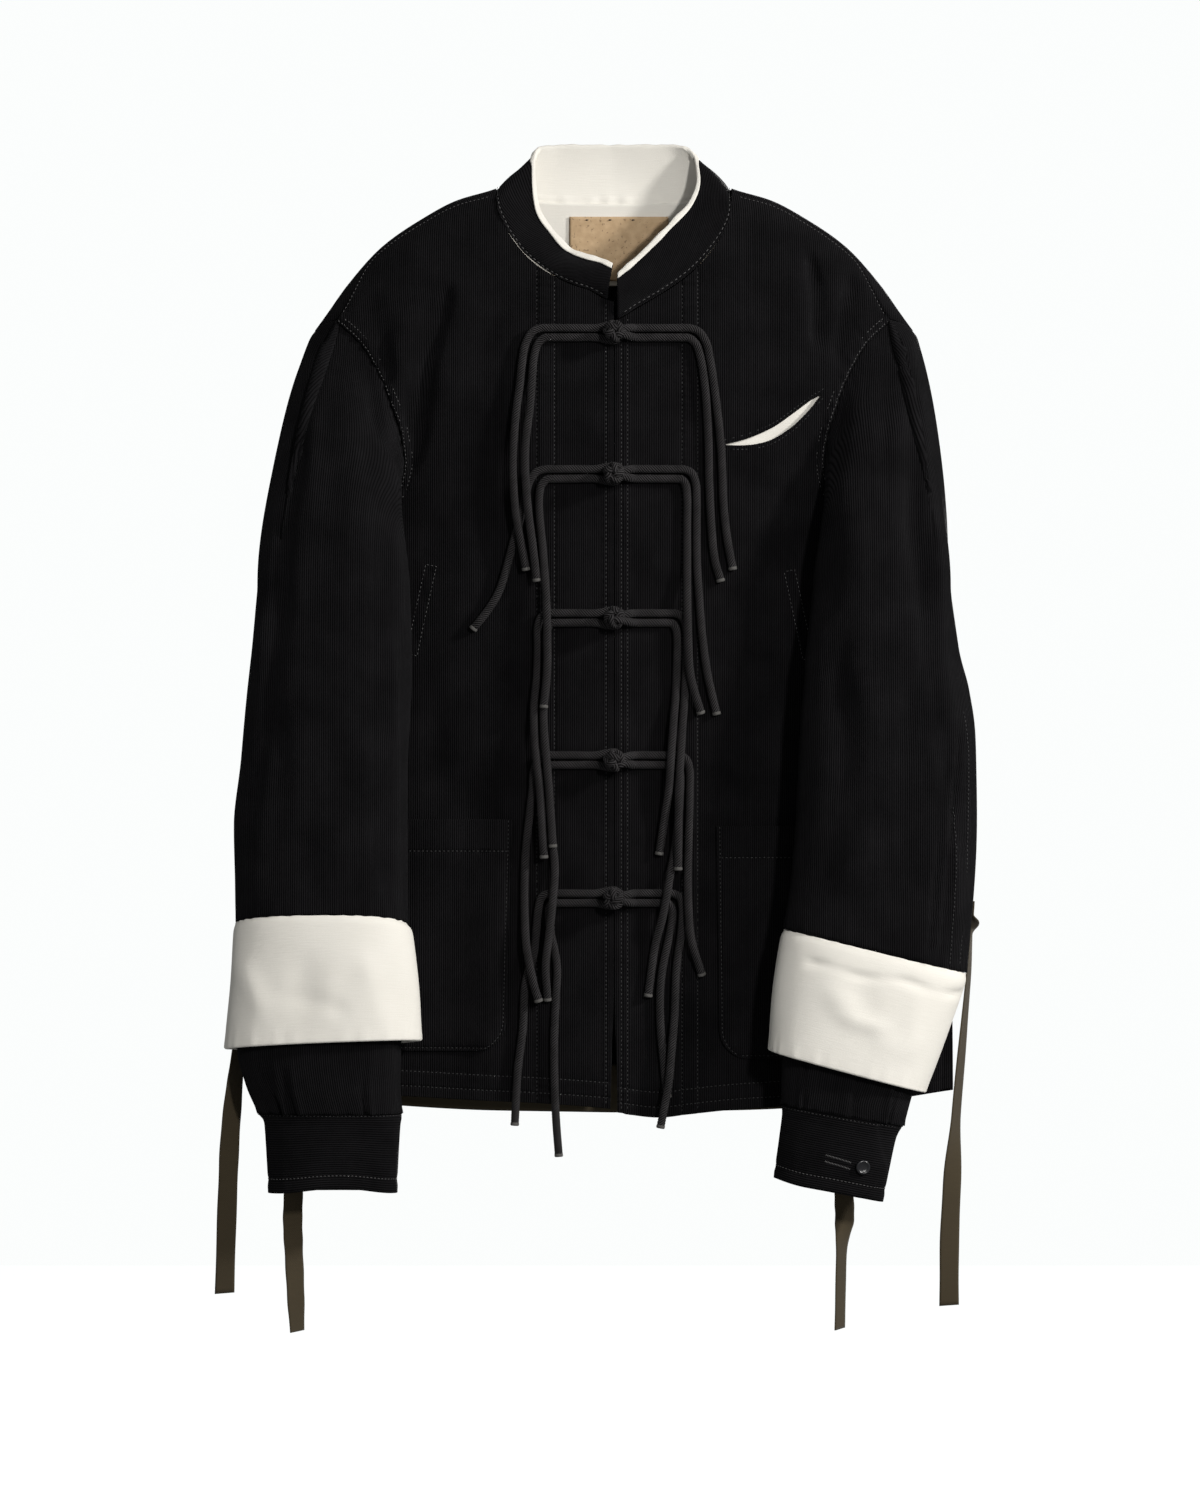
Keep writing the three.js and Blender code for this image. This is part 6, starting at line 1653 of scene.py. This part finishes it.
tapes = {}
for name, (sign, arm_rows, angle, start, end, rest) in TAPES.items():
    rows = [sewn_at(sign, arm_rows, angle, start), sewn_at(sign, arm_rows, angle, end)] + rest
    x, y, z, twist = numbered(rows, 0, 1, 2, 3)
    u, v = np.meshgrid(np.linspace(-0.5, 0.5, 9), np.linspace(0, 1, 110))
    k = v * (len(rows) - 1)
    a = np.radians(twist(k) + 5 * np.sin(9 * v + angle) * smooth(0.3, 0.6, v))
    width = TAPE * (1 - 0.02 * np.cos(40 * v))
    ripple = 0.5 * np.sin(23 * v + angle) * smooth(0.35, 0.6, v)
    points = xyz(x(k) + np.cos(a) * u * width, y(k) + np.sin(a) * u * width + ripple,
                 z(k) + 1.2 * u * smooth(0.98, 1, v))
    uv = np.stack([u * TAPE, np.broadcast_to((z(0) - z(k)), u.shape)], -1) * MM
    tapes[name] = thicken(cloth_mesh(f"tape_{name}_cloth", points, uv, facing=-1), 0.9), points
    dress(tapes[name][0], TWILL, "olive_tape", f"tape_{name}")
    print(f"tape_{name}: {grid_area(points) / TAPE / MM:.3f} m long")

# %% [markdown]
# ## Sewing
#
# A stitch is a small lozenge of thread, ten points each. A row of them follows a line on any surface, so
# the same function sews the bands, the hems, the collar and the pockets.

# %% Stitches
STITCH = np.array([(-0.5, 0, -0.6), (-0.28, 0.5, 0.1), (-0.28, 0, 0.5), (-0.28, -0.5, 0.1), (-0.28, 0, -0.6),
                   (0.28, 0.5, 0.1), (0.28, 0, 0.5), (0.28, -0.5, 0.1), (0.28, 0, -0.6), (0.5, 0, -0.6)])
STITCH_FACES = np.array([(0, 1, 2), (0, 2, 3), (0, 3, 4), (0, 4, 1), (9, 6, 5), (9, 7, 6), (9, 8, 7), (9, 5, 8)]
                        + [face for i in range(4) for face in
                           ((1 + i, 5 + i, 5 + (i + 1) % 4), (1 + i, 5 + (i + 1) % 4, 1 + (i + 1) % 4))])


def line_on(surface, u, v, lift=0.15, count=600):
    """Points and outward normals along a line on surface(u, v, out); u and v are knots of the line."""
    t = np.linspace(0, 1, count)
    u, v = (np.interp(t, np.linspace(0, 1, np.size(k)), np.atleast_1d(k).astype(float)) for k in (u, v))
    points = surface(u, v, np.full(count, lift))
    return points, unit(surface(u, v, np.full(count, lift + 1)) - points)


def sew(name, lines, finish, slot, pitch=3.3, size=(2.4, 0.7, 0.55)):
    """One object with a stitch at every pitch along all the lines."""
    placed = []
    for points, normals in lines:
        run = np.concatenate([[0], np.cumsum(np.linalg.norm(np.diff(points, axis=0), axis=1))])
        places = np.arange(pitch / 2, run[-1] - pitch / 3, pitch)
        placed.append([np.stack([np.interp(places, run, values[:, i]) for i in range(3)], -1)
                       for values in (points, np.gradient(points, axis=0), normals)])
    centre, along, out = (np.concatenate(parts) for parts in zip(*placed))
    along = unit(along)
    side = unit(np.cross(out, along))
    shape = STITCH * np.array(size)
    points = (centre[:, None] + shape[None, :, :1] * along[:, None] + shape[None, :, 1:2] * side[:, None]
              + shape[None, :, 2:] * out[:, None])
    faces = STITCH_FACES[None] + 10 * np.arange(len(centre))[:, None, None]
    piece = mesh_object(name, points.reshape(-1, 3), faces.reshape(-1, 3)[:, ::-1])
    dress(piece, finish, slot)
    print(f"{name}: {len(centre)} stitches")
    return piece


def front_lines(sign):
    """The dark rows of stitches of a front: bands, front edge and hem."""
    surface = partial(front_skin, sign)
    lines = [line_on(surface, (x, x), (NECK_FRONT[sign](abs(x)) - 3, HEM[sign](abs(x)) + 2))
             for x in BANDS[sign] + EDGE_STITCH[sign]]
    x = sign * np.linspace(4, 240, 60)
    return lines + [line_on(surface, x, HEM[sign](np.abs(x)) + up) for up in HEM_STITCH]


def welt_lines(sign):
    """A loop of stitches round the slanted pocket opening."""
    x0, z0, x1, z1 = WELTS[sign]
    long = math.hypot(x1 - x0, z1 - z0)
    way, off = np.array([x1 - x0, z1 - z0]) / long, np.array([z1 - z0, x0 - x1]) / long * 4.2
    corners = [np.array([x0, z0]) - 3 * way + off, np.array([x1, z1]) + 3 * way + off,
               np.array([x1, z1]) + 3 * way - off, np.array([x0, z0]) - 3 * way - off]
    loop = np.array(corners + corners[:1])
    return [line_on(partial(front_skin, sign), loop[:, 0], loop[:, 1])]


def armhole_lines(sign):
    """Rows of stitches beside the armhole and the shoulder seam of a front."""
    edge_x, edge_z = numbered(ARMHOLE_FRONT, 0, 1)
    k = np.linspace(0.4, UNDERARM_ROW - 0.3, 120)
    x, z = edge_x(k), edge_z(k)
    way = unit(np.stack([np.gradient(z), -np.gradient(x)], -1))
    if way[40, 0] > 0:
        way = -way
    surface = partial(front_skin, sign)
    shoulder = np.linspace(97, 209, 60)
    return ([line_on(surface, sign * (x + way[:, 0] * off), z + way[:, 1] * off) for off in (1.3, 5.6)]
            + [line_on(surface, sign * shoulder, ridge(shoulder) - seam_drop(shoulder) - 2.2)])


slit_x = np.linspace(SLIT_ENDS[0] - 2, SLIT_ENDS[1] + 2, 40)
slit_loop = [line_on(partial(front_skin, 1), slit_x,
                     slit_z(slit_x) + way * (np.maximum(slit_half(slit_x), 0.4) + 3.2)) for way in (1, -1)]
thread_left = sew("thread_front_left", front_lines(-1), BLACK_THREAD, "corduroy")
thread_right = sew("thread_front_right", front_lines(1) + slit_loop, BLACK_THREAD, "corduroy")
WELT_STITCH, COLLAR_STITCH, BAND_STITCH = (2.0, 0.5, 0.5), (2.9, 0.6, 0.55), (2.2, 0.5, 0.5)
HOLE_STITCH, LABEL_STITCH = (0.8, 1.5, 0.6), (2.6, 0.9, 0.9)


def back_face(x, z, out):
    """The outer face of the back, raised by out."""
    return back_skin(x, z, out=out)


def collar_sewn(run, v, out):
    """The outer face of the collar, raised by out."""
    return collar_at(run, v, collar_relief(run, v) + out)


welt_left, welt_right = (sew(f"thread_welt_{side}", welt_lines(sign) + armhole_lines(sign), THREAD_PAINTED_HIGHLIGHT,
                             "corduroy", size=WELT_STITCH) for sign, side in ((-1, "left"), (1, "right")))
back_hem_x = np.linspace(-246, 246, 90)
thread_back = sew("thread_back", [line_on(back_face, back_hem_x,
                                          hem_back(np.abs(back_hem_x)) + up) for up in HEM_STITCH],
                  BLACK_THREAD, "corduroy")
collar_runs = np.linspace(COLLAR_ENDS[0] + 3, COLLAR_ENDS[1] - 3, 90)
thread_collar = sew("thread_collar", [line_on(collar_sewn, collar_runs, 0.075, count=1200)], THREAD_PAINTED_HIGHLIGHT,
                    "corduroy", pitch=4.2, size=COLLAR_STITCH)

# %% Stitches of the pockets, the sleeves, the bands, the label and the tapes
pocket_threads, arm_threads = {}, {}
for sign, side in ((-1, "left"), (1, "right")):
    inner, lean, outer, top, bottom = POCKETS[sign]
    surface = partial(pocket_skin, sign)
    z = np.linspace(top, bottom + 2, 80)
    lines = [line_on(surface, sign * (pocket_side(sign, z) + 2.4), z),
             line_on(surface, sign * np.array([inner + POCKET_CORNER - 4, outer]), np.full(2, bottom + 2.4)),
             line_on(surface, sign * np.array([inner + 3, outer]), np.full(2, top - 24.5))]
    pocket_threads[sign] = sew(f"thread_pocket_{side}", lines, BLACK_THREAD, "corduroy")
    angles = np.linspace(UNDERARM + 4, UNDERARM + 356, 90)
    arm_threads[sign] = sew(f"thread_band_{side}", [line_on(band_at[sign], angles, v) for v in (0.0656, 0.91)],
                            THREAD_PAINTED_HIGHLIGHT, "corduroy", pitch=3.0, size=BAND_STITCH)


def label_face(x, z, out):
    """The face of the label, inside the back, raised by out towards the front."""
    return skin(x, z, "back", -(CLOTH + INSIDE + COTTON + INSIDE) - 1.3 - out)


FELLED_ROWS = [(28, 26, 0.62), (44, 40, 0.8)]
thread_felled = sew("thread_sleeve_right",
                    [line_on(sleeve_at[1], np.linspace(upper, lower, 20), np.linspace(start, 0.995, 20))
                     for upper, lower, start in FELLED_ROWS], BLACK_THREAD, "corduroy")
buttonhole = sew("thread_buttonhole", [line_on(band_at[1], np.array([98.0, 76.0]), np.array([v, v + 0.02]))
                                       for v in (0.77, 0.81)],
                 THREAD_PAINTED_HIGHLIGHT, "corduroy", pitch=1.15, size=HOLE_STITCH)
thread_label = sew("thread_label", [line_on(label_face, np.array([-30.0, 38.0]), np.full(2, -10.5))],
                   BLACK_THREAD, "label", pitch=18, size=LABEL_STITCH)

# %% [markdown]
# ## Cloth sizes
#
# The flat size that each piece of cloth was cut to comes from its grid: its longest row, its longest
# column and the area of all its faces, and it is printed. On a tube the row runs all the way round.

# %% Sheets
def cut_size(points):
    """Width and length of the cut in metres: the longest row and the longest column."""
    width = np.linalg.norm(np.diff(points, axis=1), axis=-1).sum(axis=1).max()
    length = np.linalg.norm(np.diff(points, axis=0), axis=-1).sum(axis=0).max()
    return round(float(width) * MM, 3), round(float(length) * MM, 3)


SHEETS = [
    (front_left, left_points, "hung", ["back_panel"], [thread_left, welt_left]),
    (front_right, right_points, "hung", ["back_panel"], [thread_right, welt_right]),
    (back_panel, back_points, "hung", [], [thread_back]),
    (sleeve_left, sleeve_left_points, "hung", ["back_panel"], []),
    (sleeve_right, sleeve_right_points, "hung", ["back_panel"], [thread_felled]),
    (*turn_ups[-1][1:], "folded", ["sleeve_left"], []),
    (*turn_ups[1][1:], "folded", ["sleeve_right"], []),
    (*arm_sheets["lower_sleeve_left"], "hung", ["sleeve_left"], []),
    (*arm_sheets["lower_sleeve_right"], "hung", ["sleeve_right"], []),
    (*arm_sheets["cuff_band_left"], "hung", ["lower_sleeve_left"], [arm_threads[-1]]),
    (*arm_sheets["cuff_band_right"], "hung", ["lower_sleeve_right"], [arm_threads[1], buttonhole]),
    (collar_outer, collar_points, "stretched", ["back_panel"], [thread_collar]),
    (collar_inner, inner_points, "stretched", ["back_panel"], []),
    (neck_facing, facing_points, "laid", ["back_panel"], []),
    (neck_label, label_points, "laid", ["back_neck_facing"], [thread_label]),
    (slit_lining, lining_points, "laid", ["front_right"], []),
    (hem_facing, hem_points, "laid", ["back_panel"], []),
    (*pockets[-1], "laid", ["front_left"], [pocket_threads[-1]]),
    (*pockets[1], "laid", ["front_right"], [pocket_threads[1]]),
    (*tapes["left_outer"], "hung", ["turn_up_left"], []),
    (*tapes["left_inner"], "hung", ["cuff_band_left"], []),
    (*tapes["right_outer"], "hung", ["sleeve_right"], []),
    (*tapes["right_inner"], "hung", ["cuff_band_right"], []),
]
for piece, points, held, rests_on, with_pieces in SHEETS:
    flat, area = cut_size(points), grid_area(points)
    area = min(area, flat[0] * flat[1])
    print(f"{piece.name}: {flat[0]:.3f} x {flat[1]:.3f} m, {area:.4f} m2")

# %% [markdown]
# ## Floor and light
#
# A plain pale floor lies well below the jacket. The key and the rake light the cloth from the upper right,
# a third lamp lights its back, and a pale surrounding fills the shade. The floor glows about as white as the
# surroundings, and it throws no light on the cloth, so the black corduroy keeps its tones.

# %% Floor and light
FLOOR_Z = -1.3
FLOOR_HALF = 6
FLOOR_GLOW = 0.78
FILL = 0.24
PALE = (0.95, 0.965, 0.96, 1)
LAMP_WHITE = (1.0, 0.985, 0.96)
AIM = np.array([0.0, 0.0, -0.4])
LAMPS = [("key", 52, 0.22, (1.1, -3.0, 0.42)), ("rake", 92, 0.4, (2.7, -1.5, 1.1)),
         ("back", 110, 0.5, (1.0, 3.2, 0.5))]


def area_lamp(name, watts, size, place):
    """A square lamp turned to the middle of the jacket."""
    light = bpy.data.lights.new(name, "AREA")
    light.energy, light.size, light.color = watts, size, LAMP_WHITE
    lamp = bpy.data.objects.new(name, light)
    bpy.context.collection.objects.link(lamp)
    lamp.location = place
    way = AIM - np.array(place)
    lamp.rotation_euler = (math.atan2(math.hypot(way[0], way[1]), -way[2]), 0, math.atan2(-way[0], way[1]))


square = [(-FLOOR_HALF, -FLOOR_HALF), (FLOOR_HALF, -FLOOR_HALF), (FLOOR_HALF, FLOOR_HALF), (-FLOOR_HALF, FLOOR_HALF)]
floor_mesh = bpy.data.meshes.new("floor")
floor_mesh.from_pydata([(a, b, FLOOR_Z) for a, b in square], [], [(0, 1, 2, 3)])
floor = bpy.data.objects.new("floor", floor_mesh)
bpy.context.collection.objects.link(floor)
floor_mesh.materials.append(Finish("floor", **{"Base Color": PALE, "Roughness": 1.0, "Specular IOR Level": 0.0,
                                               "Emission Color": PALE, "Emission Strength": FLOOR_GLOW}).material)
floor.visible_diffuse = floor.visible_glossy = floor.visible_shadow = False
for row in LAMPS:
    area_lamp(*row)

world = bpy.data.worlds.new("pale")
bpy.context.scene.world = world
world.use_nodes = True
sky = world.node_tree.nodes["Background"]
sky.inputs["Color"].default_value = (0.97, 0.985, 0.98, 1)
seen = world.node_tree.nodes.new("ShaderNodeLightPath").outputs["Is Camera Ray"]
strength = world.node_tree.nodes.new("ShaderNodeMapRange")
strength.inputs["To Min"].default_value = FILL
strength.inputs["To Max"].default_value = 1.0
world.node_tree.links.new(seen, strength.inputs["Value"])
world.node_tree.links.new(strength.outputs[0], sky.inputs["Strength"])
bpy.context.scene.view_settings.view_transform = "Standard"
print("lights:", [lamp.name for lamp in bpy.data.lights])
